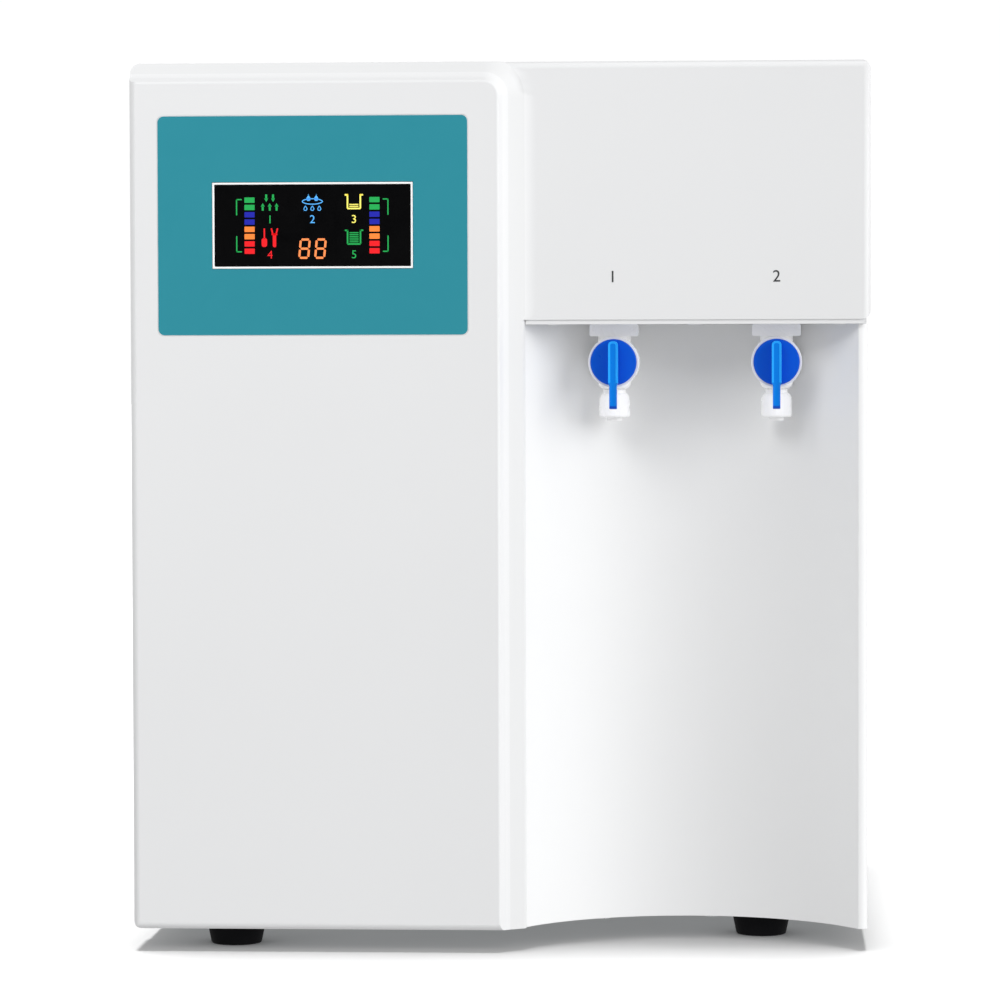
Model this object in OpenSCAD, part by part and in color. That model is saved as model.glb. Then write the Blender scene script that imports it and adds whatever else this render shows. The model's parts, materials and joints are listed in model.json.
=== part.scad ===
/* [Casing] */
// Width across the moulded front
body_w = 400; // [380:1:440]
// Height of the casing above its feet
body_h = 470; // [465:1:500]
// Depth from the raised panel to the outer face of the rear panel
body_d = 420; // [412:1:450]
// Wall of the moulded pieces
shell = 3; // [2.5:0.25:3.5]
// Thickness of the sheet metal
sheet = 1.5; // [1:0.25:2]
// Depth of the moulded front behind the face of its head
fascia_d = 33; // [30:1:38]
// How far the sheet cover stands inside the outline of the moulded front
cover_inset = 1.5; // [1:0.25:2]
// Corner radius of the moulded front, seen from the front
corner_r = 5; // [4:0.5:7]
// Rounding of the front edges
edge_r = 4; // [2:0.5:5]
// Gap between pieces that lie beside each other
fit = 0.2; // [0.1:0.05:0.3]
// Radial gap of a running fit
run_fit = 0.05; // [0.03:0.01:0.08]

/* [Raised panel and head] */
// Width of the raised panel's flat face
panel_w = 200; // [190:1:215]
// How far the raised panel stands in front of the head
panel_step = 12; // [10:0.5:14]
// Width of the bevel beside the raised panel
bevel_w = 13.5; // [12:0.5:18]
// Width of the steep edge at the start of the bevel
drop_w = 3; // [2:0.5:4]
// Depth of the steep edge at the start of the bevel
drop_d = 5; // [3:0.5:6]
// Margin between the raised face and the top of the casing
panel_top_gap = 10.8; // [9:0.2:12]
// Corner radius of the raised face
panel_corner_r = 8; // [6:0.5:10]
// Height of the head above the taps
head_h = 139.4; // [130:0.2:145]
// Depth of the lip under the head
lip_d = 10; // [8:1:12]

/* [Recess] */
// How deep the recess bows behind its edges
recess_sag = 50; // [47:1:60]
// How far the edges of the recess lie behind the face of the head
recess_edge = 4; // [3:0.5:6]
// Width of the strip beside the recess
strip_w = 5; // [4.5:0.5:7]
// Thickness of the shelf that carries the taps
shelf_t = 2.5; // [2:0.25:3]
// How far the front of the shelf lies behind the face of the head
shelf_setback = 2; // [1:0.5:3]

/* [Feet] */
// Height of the rubber feet
foot_h = 12; // [10:1:16]
// Radius of a foot where it meets the casing
foot_top_r = 16.3; // [14:0.1:18]
// Radius of a foot where it meets the bench
foot_r = 13.8; // [12:0.1:14]
// Distance of the left feet from the left side
left_foot_inset = 52; // [45:1:60]
// Distance of the right feet from the right side
right_foot_inset = 59; // [50:1:65]
// Depth of the left front foot
left_foot_d = 37; // [35:1:60]
// Gap between the recess and the right front foot
right_foot_gap = 6; // [3:1:12]
// Distance of the rear feet from the rear panel
rear_foot_gap = 45; // [40:1:70]

/* [Display] */
// Width of the overlay
overlay_w = 168; // [160:1:172]
// Height of the overlay
overlay_h = 118.4; // [110:0.2:122]
// Thickness of the overlay
overlay_t = 0.5; // [0.3:0.1:0.8]
// Corner radius of the overlay
overlay_r = 3.5; // [2:0.5:5]
// Distance of the overlay from the right edge of the raised face
overlay_side = 16.5; // [14:0.5:18]
// Distance of the overlay from the top of the casing
overlay_drop = 29; // [27:0.5:33]
// Width of the display window
window_w = 106.4; // [98:0.2:108]
// Height of the display window
window_h = 44.2; // [40:0.2:46]
// Thickness of the display window
window_t = 2; // [1.5:0.25:2.5]
// Width of the white frame around the window
bezel_w = 1.1; // [0.8:0.1:1.5]
// How far the display board lies behind the raised face
display_gap = 14; // [13:0.5:18]

/* [Taps] */
// Distance of the left tap from the left edge of the recess
left_tap_side = 47.5; // [42:0.5:60]
// Distance of the right tap from the right edge of the recess
right_tap_side = 44.1; // [42:0.1:60]
// Depth of the taps behind the face of the head
tap_back = 28; // [26:0.5:29]
// Drop from the shelf to the axis of the handle
handle_drop = 20.6; // [20:0.1:23]
// Radius of the handle's disc
handle_r = 12.6; // [11.5:0.1:13.5]
// Thickness of the handle's disc
handle_t = 3.7; // [3:0.1:4.5]
// Reach of the lever below the handle's axis
lever_reach = 25.4; // [23:0.2:27]
// Width of the rib on the disc
rib_w = 5.8; // [5:0.1:6.5]
// Width of the lever at its tip
lever_w = 4.1; // [3.6:0.1:4.5]
// How far the rib and lever stand in front of the disc
rib_d = 7; // [5:0.5:8]
// Radius of the white bonnet behind the disc
bonnet_r = 13.8; // [13.2:0.1:14.4]
// Radius of the turning plug
plug_r = 7; // [6.5:0.1:7.5]
// Radius of the waterway through a tap
water_r = 2.8; // [2.4:0.1:3]
// Radius of the valve's upright barrel
barrel_r = 9; // [8.5:0.1:10]
// Radius of the threaded stem in the shelf
stem_r = 6; // [5.5:0.1:6.5]
// Radius of the nozzle
nozzle_r = 8.4; // [7.8:0.1:9]
// Height of the nozzle
nozzle_h = 17; // [15:0.5:18]

/* [Rear ports] */
// Radius of the water tube
tube_r = 3.175; // [3:0.025:3.2]
// Wall of the water tube
tube_wall = 1; // [0.8:0.1:1.2]
// Height of the ports above the underside of the casing
port_z = 58; // [54:1:64]
// Distance between ports
port_pitch = 40; // [36:1:42]
// Length of a port's barrel outside the rear panel
port_len = 13; // [12:0.5:16]
// Travel of a collet
collet_travel = 1.5; // [1:0.1:2]

/* [Power inlet] */
// Distance of the power inlet from the left side
inlet_side = 70; // [60:1:90]
// Height of the power inlet's middle above the underside of the casing
inlet_up = 68; // [60:1:80]
// Tilt of the rocker at rest
rocker_tilt = 10; // [6:1:12]

/* [Works] */
// Depth of the upright equipment panel
equip_d = 200; // [196:1:206]
// Radius of a filter cartridge
filter_r = 32; // [30:0.5:34]
// Length of a filter cartridge
filter_len = 250; // [230:1:260]
// Distance between filter cartridges
filter_pitch = 75; // [73:0.5:78]
// Radius of the membrane housing
membrane_r = 35; // [34:0.5:37]
// Length of the membrane housing
membrane_len = 270; // [260:1:280]
// Radius of a resin column
resin_r = 29; // [26:0.5:31]
// Length of a resin column
resin_len = 260; // [240:1:266]
// Radius of the pump's motor
motor_r = 30; // [28:0.5:32]
// Length of the pump's motor
motor_len = 85; // [80:1:90]
// Length of the pump's head
pump_head_len = 48; // [44:1:52]
// Side of the pump's square head
pump_side = 66; // [65:1:70]
// Radius of the pump's shaft
shaft_r = 4; // [3.5:0.1:4.5]

/* [Hidden] */
$fn = 64;
// Overlap that lets one solid run into another of the same piece
eps = 0.5;

// Colours of the finishes
white = "white";
teal = [0.22, 0.56, 0.63];
blue = [0.02, 0.33, 0.83];
light_blue = [0.15, 0.55, 1];
dark = [0.05, 0.05, 0.06];
steel = [0.7, 0.72, 0.74];
brass = [0.8, 0.65, 0.3];
board_green = [0.1, 0.4, 0.2];
clear_blue = [0.6, 0.75, 0.9];

// Push-in ports, from the rear panel outwards
seal_t = 1.5;
seal_inset = 2;
port_hex_t = 5;
port_hex_r = 12;
port_barrel_r = 9;
port_thread_r = 7;
port_thread_len = 20;
collet_r = 5;
collet_rim_r = 7;
collet_rim_t = 2.5;
collet_len = 12;
collet_rest = 0.3;
collet_gap = collet_travel + collet_rest;
tube_fit = 0.075;
socket_r = tube_r + tube_fit;
socket_len = 8;
bore_r = tube_r - tube_wall;
port_reach = seal_t + port_hex_t + port_len + collet_gap + collet_rim_t;

// Main places: x to the right, d behind the raised face, z above the bench
y_front = -(body_d + port_reach) / 2;
half_w = body_w / 2;
base_z = foot_h;
base_top = base_z + sheet;
top_z = base_z + body_h;
panel_x = panel_w - half_w;
panel_top = top_z - panel_top_gap;
alcove_x = panel_x + bevel_w;
head_d = panel_step;
head_z = top_z - head_h;
fascia_back = head_d + fascia_d;
cover_x = half_w - cover_inset;
cover_in = cover_x - sheet;
cover_top = top_z - cover_inset;
rear_in = body_d - sheet;
shelf_z = head_z - shelf_t;

// Screws
screw_r = 1.9;
screw_head_r = 3.6;
screw_head_h = 1.4;
screw_len = 9;
screw_hole_r = screw_r + fit;
flange_h = 16;
flange_gap = 20;

// Tongue of the moulded front inside the cover
tongue_d = 10;
tongue_t = 2;
tongue_root = 6;

// Curve of the recess
recess_d = head_d + recess_edge;
strip_x = cover_x - strip_w;
recess_x = (alcove_x + strip_x) / 2;
recess_half = (strip_x - alcove_x) / 2;
recess_r = (recess_half * recess_half + recess_sag * recess_sag) / (2 * recess_sag);
recess_centre_d = recess_d + recess_sag - recess_r;
recess_back = recess_d + recess_sag + shell;
shelf_over = 6;
shelf_back = recess_back + shelf_over;
function recess_depth(x) = recess_centre_d
    + sqrt(recess_r * recess_r - (x - recess_x) * (x - recess_x));

// Feet: x and depth of each
left_foot_x = left_foot_inset - half_w;
right_foot_x = half_w - right_foot_inset;
right_foot_d = recess_depth(right_foot_x) + shell + right_foot_gap + foot_top_r;
foot_spots = [[left_foot_x, left_foot_d], [right_foot_x, right_foot_d],
    [left_foot_x, body_d - rear_foot_gap], [right_foot_x, body_d - rear_foot_gap]];
foot_recess_r = 5;
foot_recess_h = foot_h / 2;

// Display
overlay_x1 = panel_x - overlay_side;
overlay_x0 = overlay_x1 - overlay_w;
overlay_z1 = top_z - overlay_drop;
overlay_z0 = overlay_z1 - overlay_h;
display_x = (overlay_x0 + overlay_x1) / 2;
display_z = (overlay_z0 + overlay_z1) / 2;
bezel_rim = 2;
cutout_w = window_w + 2 * bezel_w + 2 * fit;
cutout_h = window_h + 2 * bezel_w + 2 * fit;
bezel_flange = 2;
bezel_back = shell + bezel_flange;
window_d = overlay_t;
ledge_w = 1.5;
display_board_w = 136;
display_board_h = 76;
board_t = 1.6;
post_r = 3;
post_inset = 5;

// Taps, from the shelf downwards
tap_xs = [alcove_x + left_tap_side, strip_x - right_tap_side];
tap_gap = 1;
tap_reach = max(recess_x - tap_xs[0], tap_xs[1] - recess_x) + bonnet_r;
tap_d = head_d + tap_back;
handle_z = shelf_z - handle_drop;
block_w = 26.5;
block_reach = 10;
block_h = 6.5;
boss_reach = 12;
boss_front = tap_d - boss_reach;
boss_back = recess_depth(recess_x + tap_reach) - tap_gap;
boss_floor = 2;
bonnet_t = 3;
bonnet_front = boss_front - bonnet_t;
handle_gap = 0.3;
handle_back = bonnet_front - handle_gap;
handle_front = handle_back - handle_t;
plug_stem_r = 4;
rib_margin = 2.2;
neck_drop = 1;
drive_w = 5;
drive_len = 2.5;
plug_back = boss_back - boss_floor;
seal_r = 1;
seal_d = boss_front - bonnet_t / 2;
barrel_below = 1;
barrel_bottom = handle_z - bonnet_r - barrel_below;
spigot_r = 4.8;
spigot_len = 9;
nozzle_top = barrel_bottom - fit;
nozzle_neck_h = 2.5;
nozzle_wall = 1.4;
nozzle_round = 0.8;
nozzle_bottom = nozzle_top - nozzle_h;
stem_len = 20;
stem_top = head_z + stem_len;
nut_t = 6;
nut_hex_r = 11;

// Power inlet
inlet_x = inlet_side - half_w;
inlet_z = base_z + inlet_up;
inlet_w = 27;
inlet_h = 47;
inlet_rim = 2;
inlet_rim_t = 3;
inlet_len = 30;
inlet_face = body_d + inlet_rim_t;
socket_w = 24;
socket_h = 16.4;
socket_deep = 20;
socket_chamfer = 4;
inlet_web = 2;
rocker_w = 19.6;
rocker_half = 6;
rocker_room = 0.6;
rocker_deep = 14;
rocker_pin_r = 1.5;
rocker_pin_len = 2;
rocker_sink = 2;
rocker_rise = 4;
rocker_dip = 2.8;
rocker_d = inlet_face - rocker_sink;
rocker_z = inlet_z + socket_h / 2 + inlet_web + rocker_half + rocker_room;
drawer_w = 21.6;
drawer_h = 6.6;
drawer_len = 20;
drawer_rim = 0.6;
drawer_rim_t = 1.5;
drawer_z = inlet_z - socket_h / 2 - inlet_web - fit - drawer_h / 2;
blade_w = 2;
blade_h = 4;
blade_len = 14;
blade_pitch = 7;
blade_rise = 2;

// Ports: the tank port lies behind the right tap
port_height = base_z + port_z;
tank_x = tap_xs[1];
drain_x = tank_x - port_pitch;
feed_x = drain_x - port_pitch;
port_xs = [feed_x, drain_x, tank_x];
port_hex_d = body_d + seal_t;
port_barrel_d = port_hex_d + port_hex_t;
port_end_d = port_barrel_d + port_len;
port_inner_d = body_d - port_thread_len;
collet_face = port_end_d + collet_gap;
port_nut_t = 6;

// Works
equip_back = equip_d + sheet;
equip_side = 15;
equip_top_gap = 72;
equip_top = top_z - equip_top_gap;
equip_foot = 15;
clip_stand = 5;
clip_wall = 3;
clip_h = 14;
stub_r = 8;
stub_len = 14;
works_up = 108;
works_z = base_z + works_up;
filter_d = equip_back + clip_stand + filter_r;
filter_first = 50;
filter_xs = [for (i = [0:2]) filter_first - half_w + i * filter_pitch];
membrane_d = equip_back + clip_stand + membrane_r;
membrane_wall = 4;
cap_h = 30;
cap_rim = 4;
cap_stub_gap = 12;
membrane_x = drain_x - cap_stub_gap;
element_r = 23;
element_core_r = 8;
element_gap = 10;
lip_seal_h = 8;
resin_d = equip_d - clip_stand - resin_r;
resin_up = 78;
resin_z = base_z + resin_up;
pump_d = 100;
pump_gap_side = 22;
mount_h = 8;
cradle_t = 2;
pump_z = base_top + mount_h + cradle_t + pump_side / 2;
motor_x0 = pump_gap_side - half_w;
pump_x0 = motor_x0 + motor_len;
pump_x1 = pump_x0 + pump_head_len;
pump_port_gap = 16;
motor_wall = 2;
motor_end = 8;
chamber_r = 20;
chamber_len = 20;
eccentric_r = 9;
eccentric_off = 3;
bush_len = 8;
supply_w = 110;
supply_h = 52;
supply_t = 38;
supply_in = 4;
supply_up = 130;
supply_x0 = motor_x0 + supply_in;
supply_z0 = base_z + supply_up;
control_w = 150;
control_h = 100;
control_x0 = motor_x0;
control_gap = 40;
control_z0 = supply_z0 + supply_h + control_gap;
control_post = 10;
relay_count = 4;
relay_pitch = 30;
relay_w = 20;
relay_h = 16;
valve_w = 28;
valve_h = 26;
coil_r = 13;
coil_h = 32;
valve_stub = 12;
valve_back = 90;
valve_d = rear_in - valve_back;
bend_r = 12;
tube_drop = 26;
tube_over = 22;
tube_step = 20;
tube_low_z = resin_z - stub_len - tube_drop;
tube_over_z = equip_top + tube_over;
tube_high_z = tube_over_z + tube_step;

// Frames: outlines seen from the front, from above and from the side
module front_slab(d0, d1) {
    translate([0, y_front + d1, 0]) rotate([90, 0, 0]) linear_extrude(d1 - d0) children();
}
module plan_slab(z0, z1) {
    translate([0, y_front, z0]) linear_extrude(z1 - z0) children();
}
module side_slab(x0, x1) {
    translate([x0, y_front, 0]) rotate([90, 0, 90]) linear_extrude(x1 - x0) children();
}
module block(x0, x1, d0, d1, z0, z1) {
    translate([x0, y_front + d0, z0]) cube([x1 - x0, d1 - d0, z1 - z0]);
}
module rod_x(d, z, r, x0, x1) {
    translate([x0, y_front + d, z]) rotate([0, 90, 0]) cylinder(r = r, h = x1 - x0);
}
module rod_y(x, z, r, d0, d1) {
    translate([x, y_front + d0, z]) rotate([-90, 0, 0]) cylinder(r = r, h = d1 - d0);
}
module rod_z(x, d, r, z0, z1) {
    translate([x, y_front + d, z0]) cylinder(r = r, h = z1 - z0);
}
module rect(x0, z0, x1, z1) {
    translate([x0, z0]) square([x1 - x0, z1 - z0]);
}
module mid_rect(x, z, w, h) {
    translate([x - w / 2, z - h / 2]) square([w, h]);
}
module round_rect(x0, z0, x1, z1, r) {
    rect(x0 + r, z0, x1 - r, z1);
    rect(x0, z0 + r, x1, z1 - r);
    for (x = [x0 + r, x1 - r], z = [z0 + r, z1 - r])
        translate([x, z]) circle(r);
}

// Pan-head screw, its head above z = 0 and its shank below
module pan_screw(length) {
    cylinder(r = screw_head_r, h = screw_head_h);
    translate([0, 0, -length]) cylinder(r = screw_r, h = length + eps);
}

// Screw places: depth and height on the sides, x and height on the rear
tongue_screw_d = fascia_back + tongue_d / 2;
side_screw_gap = 110;
head_screw_gap = 40;
front_screw_gap = 95;
rear_screw_gap = 70;
left_tongue_zs = [base_z + side_screw_gap, top_z - side_screw_gap];
right_tongue_zs = [head_z + head_screw_gap, top_z - head_screw_gap];
flange_screw_z = base_z + (flange_h + sheet) / 2;
flange_screw_ds = [fascia_back + front_screw_gap, body_d - rear_screw_gap];
return_w = 14;
return_mid = return_w / 2;
rear_screw_zs = [base_z + side_screw_gap, top_z - side_screw_gap];
rear_top_xs = [-half_w / 2, 0, half_w / 2];
rear_spots = concat(
    [for (s = [-1, 1], z = rear_screw_zs) [s * (cover_in - return_mid), z]],
    [for (x = rear_top_xs) [x, cover_top - sheet - return_mid]],
    [for (x = rear_top_xs) [x, flange_screw_z]]);
shelf_screw_in = 6;
shelf_screw_gap = 16;
shelf_screw_d = head_d + shelf_screw_in;
shelf_screw_xs = [alcove_x + shelf_screw_gap, (tap_xs[0] + tap_xs[1]) / 2, cover_x - shelf_screw_gap];
boss_side = 25;
boss_xs = [boss_side - half_w, panel_x - boss_side];
boss_w = 16;
boss_h = 14;
boss_d = 34;
boss_screw_d = boss_d - boss_w / 2;
tab_left = 50;
tab_right = 10;
tab_xs = [recess_x - tab_left, recess_x + tab_right];
tab_w = 16;
tab_d = 14;

module fascia_outline() {
    intersection() {
        round_rect(-half_w, base_z, half_w, top_z, corner_r);
        rect(-half_w, base_z, alcove_x, top_z);
    }
    round_rect(-half_w, head_z, half_w, top_z, corner_r);
}
module bevel_profile() {
    polygon([[0, 0], [panel_corner_r, 0], [panel_corner_r + drop_w, drop_d],
        [panel_corner_r + bevel_w, head_d], [panel_corner_r + bevel_w, head_d + edge_r],
        [0, head_d + edge_r]]);
}
// The raised panel with its bevel along the top, the right side and the corner between
module raised_block() {
    corner_x = panel_x - panel_corner_r;
    corner_z = panel_top - panel_corner_r;
    block(-half_w, corner_x, 0, head_d + edge_r, base_z, corner_z);
    plan_slab(base_z, corner_z) translate([corner_x, 0]) bevel_profile();
    side_slab(-half_w, corner_x) translate([0, corner_z]) rotate(90) mirror([0, 1]) bevel_profile();
    translate([corner_x, y_front, corner_z]) rotate([-90, 0, 0])
        rotate([0, 0, -90]) rotate_extrude(angle = 90) bevel_profile();
}
module fascia_shell() {
    far = fascia_back + 2 * edge_r;
    difference() {
        union() {
            intersection() {
                front_slab(head_d, fascia_back) fascia_outline();
                plan_slab(base_z, top_z) round_rect(-half_w, head_d, half_w, far, edge_r);
                side_slab(-half_w, half_w) round_rect(head_d, base_z - far, far, top_z, edge_r);
            }
            intersection() {
                raised_block();
                front_slab(0, far) fascia_outline();
                plan_slab(base_z, top_z) round_rect(-half_w, 0, half_w, far, edge_r);
                side_slab(-half_w, half_w) round_rect(0, base_z, far, top_z + far, edge_r);
            }
        }
        block(shell - half_w, panel_x - shell, shell, far, base_z + shell, panel_top - shell);
        block(shell - half_w, alcove_x - shell, head_d + shell, far, base_z - 1, top_z - shell);
        block(alcove_x - shell - 1, half_w - shell, head_d + shell, far, head_z + shell, top_z - shell);
        block(alcove_x + shell, half_w - shell, head_d + lip_d, far, head_z - 1, head_z + 2 * shell);
    }
}
// A frame that runs down the left side, over the top and down the right side of the head
module tongue_frame(outer_x, outer_z, r, inner_x, inner_z) {
    difference() {
        cover_profile(outer_x, outer_z, r);
        rect(-inner_x, base_z - 1, inner_x, inner_z);
        rect(0, base_z - 1, half_w + 1, head_z + shell + 1);
        rect(-half_w, base_z - 1, 0, base_top + flange_h);
    }
}
module front_fascia() color(white) {
    tongue_x = cover_in - fit;
    tongue_z = cover_top - sheet - fit;
    difference() {
        union() {
            fascia_shell();
            front_slab(fascia_back - tongue_root, fascia_back)
                tongue_frame(half_w - shell / 2, top_z - shell / 2, corner_r - shell / 2,
                    tongue_x - tongue_t, tongue_z - tongue_t);
            front_slab(fascia_back - eps, fascia_back + tongue_d)
                tongue_frame(tongue_x, tongue_z, edge_r - sheet, tongue_x - tongue_t, tongue_z - tongue_t);
            for (x = boss_xs)
                block(x - boss_w / 2, x + boss_w / 2, shell - eps, boss_d, base_top, base_top + boss_h);
        }
        front_slab(-1, overlay_t)
            round_rect(overlay_x0 - fit, overlay_z0 - fit, overlay_x1 + fit, overlay_z1 + fit, overlay_r);
        front_slab(-1, shell + 1)
            mid_rect(display_x, display_z, cutout_w, cutout_h);
        for (z = left_tongue_zs) rod_x(tongue_screw_d, z, screw_hole_r, -half_w, -half_w / 2);
        for (z = right_tongue_zs) rod_x(tongue_screw_d, z, screw_hole_r, half_w / 2, half_w);
        for (x = boss_xs) rod_z(x, boss_screw_d, screw_hole_r, 0, base_top + boss_h - shell);
        for (x = shelf_screw_xs) rod_z(x, shelf_screw_d, screw_hole_r, shelf_z, head_z + 2 * shell);
    }
}
module recess_panel() color(white) {
    plan_slab(base_z, shelf_z) {
        intersection() {
            difference() {
                translate([recess_x, recess_centre_d]) circle(recess_r + shell, $fn = 180);
                translate([recess_x, recess_centre_d]) circle(recess_r, $fn = 180);
            }
            rect(alcove_x + fit, recess_d, strip_x, recess_back);
        }
        difference() {
            round_rect(strip_x - strip_w, recess_d, cover_x, 2 * fascia_back, edge_r);
            rect(strip_x - strip_w - 1, recess_d + shell + 1, cover_x - shell, 3 * fascia_back);
            rect(strip_x - strip_w - 1, fascia_back, cover_x + 1, 3 * fascia_back);
            rect(strip_x - strip_w - 1, recess_d - 1, strip_x, fascia_back + 1);
        }
    }
    difference() {
        plan_slab(base_top, base_top + shell) difference() {
            for (x = tab_xs)
                rect(x - tab_w / 2, recess_depth(x), x + tab_w / 2, recess_depth(x) + shell + tab_d);
            translate([recess_x, recess_centre_d]) circle(recess_r + shell / 2, $fn = 180);
        }
        for (x = tab_xs)
            rod_z(x, recess_depth(x) + shell + tab_d / 2, screw_hole_r, base_z, base_top + 2 * shell);
    }
}
module tap_shelf() color(white)
    plan_slab(shelf_z, head_z) difference() {
        rect(alcove_x + fit, head_d + shelf_setback, cover_in - fit, shelf_back);
        for (x = tap_xs) translate([x, tap_d]) circle(stem_r + fit);
        for (x = shelf_screw_xs) translate([x, shelf_screw_d]) circle(screw_hole_r);
    }

// Vent slots of the sides and of the rear panel
vent_w = 3;
vent_h = 46;
vent_pitch = 9;
vent_count = 12;
vent_back = 190;
vent_drop = 115;
side_vent_d = body_d - vent_back;
vent_z = top_z - vent_drop;
module vent_slots(mid, low) {
    for (i = [0:vent_count - 1])
        round_rect(mid + (i - vent_count / 2) * vent_pitch, low,
            mid + (i - vent_count / 2) * vent_pitch + vent_w, low + vent_h, vent_w / 2 - 0.05);
}
module cover_profile(side, top, r) {
    difference() {
        round_rect(-side, base_z - 2 * r, side, top, r);
        rect(-side - 1, base_z - 3 * r, side + 1, base_z);
    }
}
module wrap_cover() color(white) difference() {
    union() {
        difference() {
            front_slab(fascia_back, rear_in) cover_profile(cover_x, cover_top, edge_r);
            front_slab(fascia_back - 1, rear_in + 1)
                translate([0, -1]) cover_profile(cover_in, cover_top - sheet + 1, edge_r - sheet);
        }
        front_slab(rear_in - sheet, rear_in) difference() {
            cover_profile(cover_x, cover_top, edge_r);
            rect(return_w - cover_in, 0, cover_in - return_w, cover_top - sheet - return_w);
            rect(-half_w, 0, half_w, base_top + flange_h + fit);
        }
    }
    for (z = left_tongue_zs) rod_x(tongue_screw_d, z, screw_hole_r, -half_w, -half_w / 2);
    for (z = right_tongue_zs) rod_x(tongue_screw_d, z, screw_hole_r, half_w / 2, half_w);
    for (d = flange_screw_ds) rod_x(d, flange_screw_z, screw_hole_r, -half_w, half_w);
    for (p = rear_spots) rod_y(p[0], p[1], screw_hole_r, rear_in - 2 * sheet, rear_in + 1);
    side_slab(-half_w, half_w) vent_slots(side_vent_d, vent_z);
}
module rear_panel() color(white)
    front_slab(rear_in, body_d) difference() {
        cover_profile(cover_x, cover_top, edge_r);
        for (p = rear_spots) translate(p) circle(screw_hole_r);
        for (x = port_xs) translate([x, port_height]) circle(port_thread_r + fit);
        mid_rect(inlet_x, inlet_z, inlet_w + 2 * fit, inlet_h + 2 * fit);
        vent_slots(-half_w / 2, vent_z);
        vent_slots(half_w / 2, vent_z);
    }
module base_outline() {
    difference() {
        union() {
            rect(shell + fit - half_w, head_d + shell + fit, alcove_x - shell - fit, rear_in - fit);
            rect(alcove_x + fit, recess_d + 2 * shell, cover_x - shell - fit, fascia_back + 1);
            rect(fit - cover_in, fascia_back + fit, cover_in - fit, rear_in - fit);
        }
        translate([recess_x, recess_centre_d]) circle(recess_r + shell + fit, $fn = 180);
    }
}
module base_plate() color(steel) {
    flange_d0 = fascia_back + tongue_d + flange_gap;
    flange_d1 = rear_in - sheet - flange_gap;
    flange_x = cover_in - fit;
    difference() {
        union() {
            plan_slab(base_z, base_top) base_outline();
            for (x = [-flange_x, flange_x - sheet])
                block(x, x + sheet, flange_d0, flange_d1, base_z, base_z + flange_h);
            block(flange_gap - cover_in, cover_in - flange_gap, rear_in - fit - sheet, rear_in - fit,
                base_z, base_z + flange_h);
        }
        for (d = flange_screw_ds) rod_x(d, flange_screw_z, screw_hole_r, -half_w, half_w);
        for (x = rear_top_xs) rod_y(x, flange_screw_z, screw_hole_r, rear_in - 3 * sheet, rear_in);
        for (p = foot_spots) rod_z(p[0], p[1], screw_hole_r, 0, base_top + 1);
        for (x = boss_xs) rod_z(x, boss_screw_d, screw_hole_r, 0, base_top + 1);
        for (x = tab_xs) rod_z(x, recess_depth(x) + shell + tab_d / 2, screw_hole_r, 0, base_top + 1);
        for (p = equip_spots) rod_z(p[0], p[1], screw_hole_r, 0, base_top + 1);
    }
}
module rubber_feet() color(dark)
    for (p = foot_spots) translate([p[0], y_front + p[1], 0])
        rotate_extrude() polygon([[foot_recess_r, 0], [foot_r, 0], [foot_top_r, foot_h],
            [screw_hole_r, foot_h], [screw_hole_r, foot_recess_h], [foot_recess_r, foot_recess_h]]);
module foot_screws() color(steel)
    for (p = foot_spots) translate([p[0], y_front + p[1], foot_recess_h])
        rotate([180, 0, 0]) pan_screw(screw_len);
module case_screws() color(steel) {
    for (z = left_tongue_zs)
        translate([-cover_x, y_front + tongue_screw_d, z]) rotate([0, -90, 0]) pan_screw(screw_len / 2);
    for (z = right_tongue_zs)
        translate([cover_x, y_front + tongue_screw_d, z]) rotate([0, 90, 0]) pan_screw(screw_len / 2);
    for (d = flange_screw_ds, s = [-1, 1])
        translate([s * cover_x, y_front + d, flange_screw_z]) rotate([0, s * 90, 0]) pan_screw(screw_len / 2);
    for (p = rear_spots)
        translate([p[0], y_front + body_d, p[1]]) rotate([-90, 0, 0]) pan_screw(screw_len / 2);
    for (x = shelf_screw_xs)
        translate([x, y_front + shelf_screw_d, shelf_z]) rotate([180, 0, 0]) pan_screw(screw_len / 2);
    for (x = boss_xs)
        translate([x, y_front + boss_screw_d, base_z]) rotate([180, 0, 0]) pan_screw(screw_len);
    for (x = tab_xs)
        translate([x, y_front + recess_depth(x) + shell + tab_d / 2, base_z])
            rotate([180, 0, 0]) pan_screw(screw_len / 2);
}

module control_overlay() color(teal)
    front_slab(0, overlay_t) difference() {
        round_rect(overlay_x0, overlay_z0, overlay_x1, overlay_z1, overlay_r);
        mid_rect(display_x, display_z, cutout_w, cutout_h);
    }
module display_bezel() color(white) {
    outer_w = window_w + 2 * bezel_w;
    outer_h = window_h + 2 * bezel_w;
    difference() {
        union() {
            front_slab(0, bezel_back) mid_rect(display_x, display_z, outer_w, outer_h);
            front_slab(shell, bezel_back)
                mid_rect(display_x, display_z, outer_w + 2 * bezel_rim, outer_h + 2 * bezel_rim);
        }
        front_slab(-1, window_d + window_t)
            mid_rect(display_x, display_z, window_w, window_h);
        front_slab(-1, bezel_back + 1)
            mid_rect(display_x, display_z, window_w - 2 * ledge_w, window_h - 2 * ledge_w);
    }
}
module display_window() color(dark)
    front_slab(window_d, window_d + window_t)
        mid_rect(display_x, display_z, window_w - 2 * fit, window_h - 2 * fit);
module board_posts(x, z, w, h, d0, d1) {
    for (sx = [-1, 1], sz = [-1, 1])
        rod_y(x + sx * (w / 2 - post_inset), z + sz * (h / 2 - post_inset), post_r, d0, d1);
}
module display_board() color(board_green) {
    led_w = window_w - 2 * ledge_w - 2 * fit;
    led_h = window_h - 2 * ledge_w - 2 * fit;
    front_slab(display_gap, display_gap + board_t)
        mid_rect(display_x, display_z, display_board_w, display_board_h);
    front_slab(window_d + window_t + fit, display_gap + eps) mid_rect(display_x, display_z, led_w, led_h);
}
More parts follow.
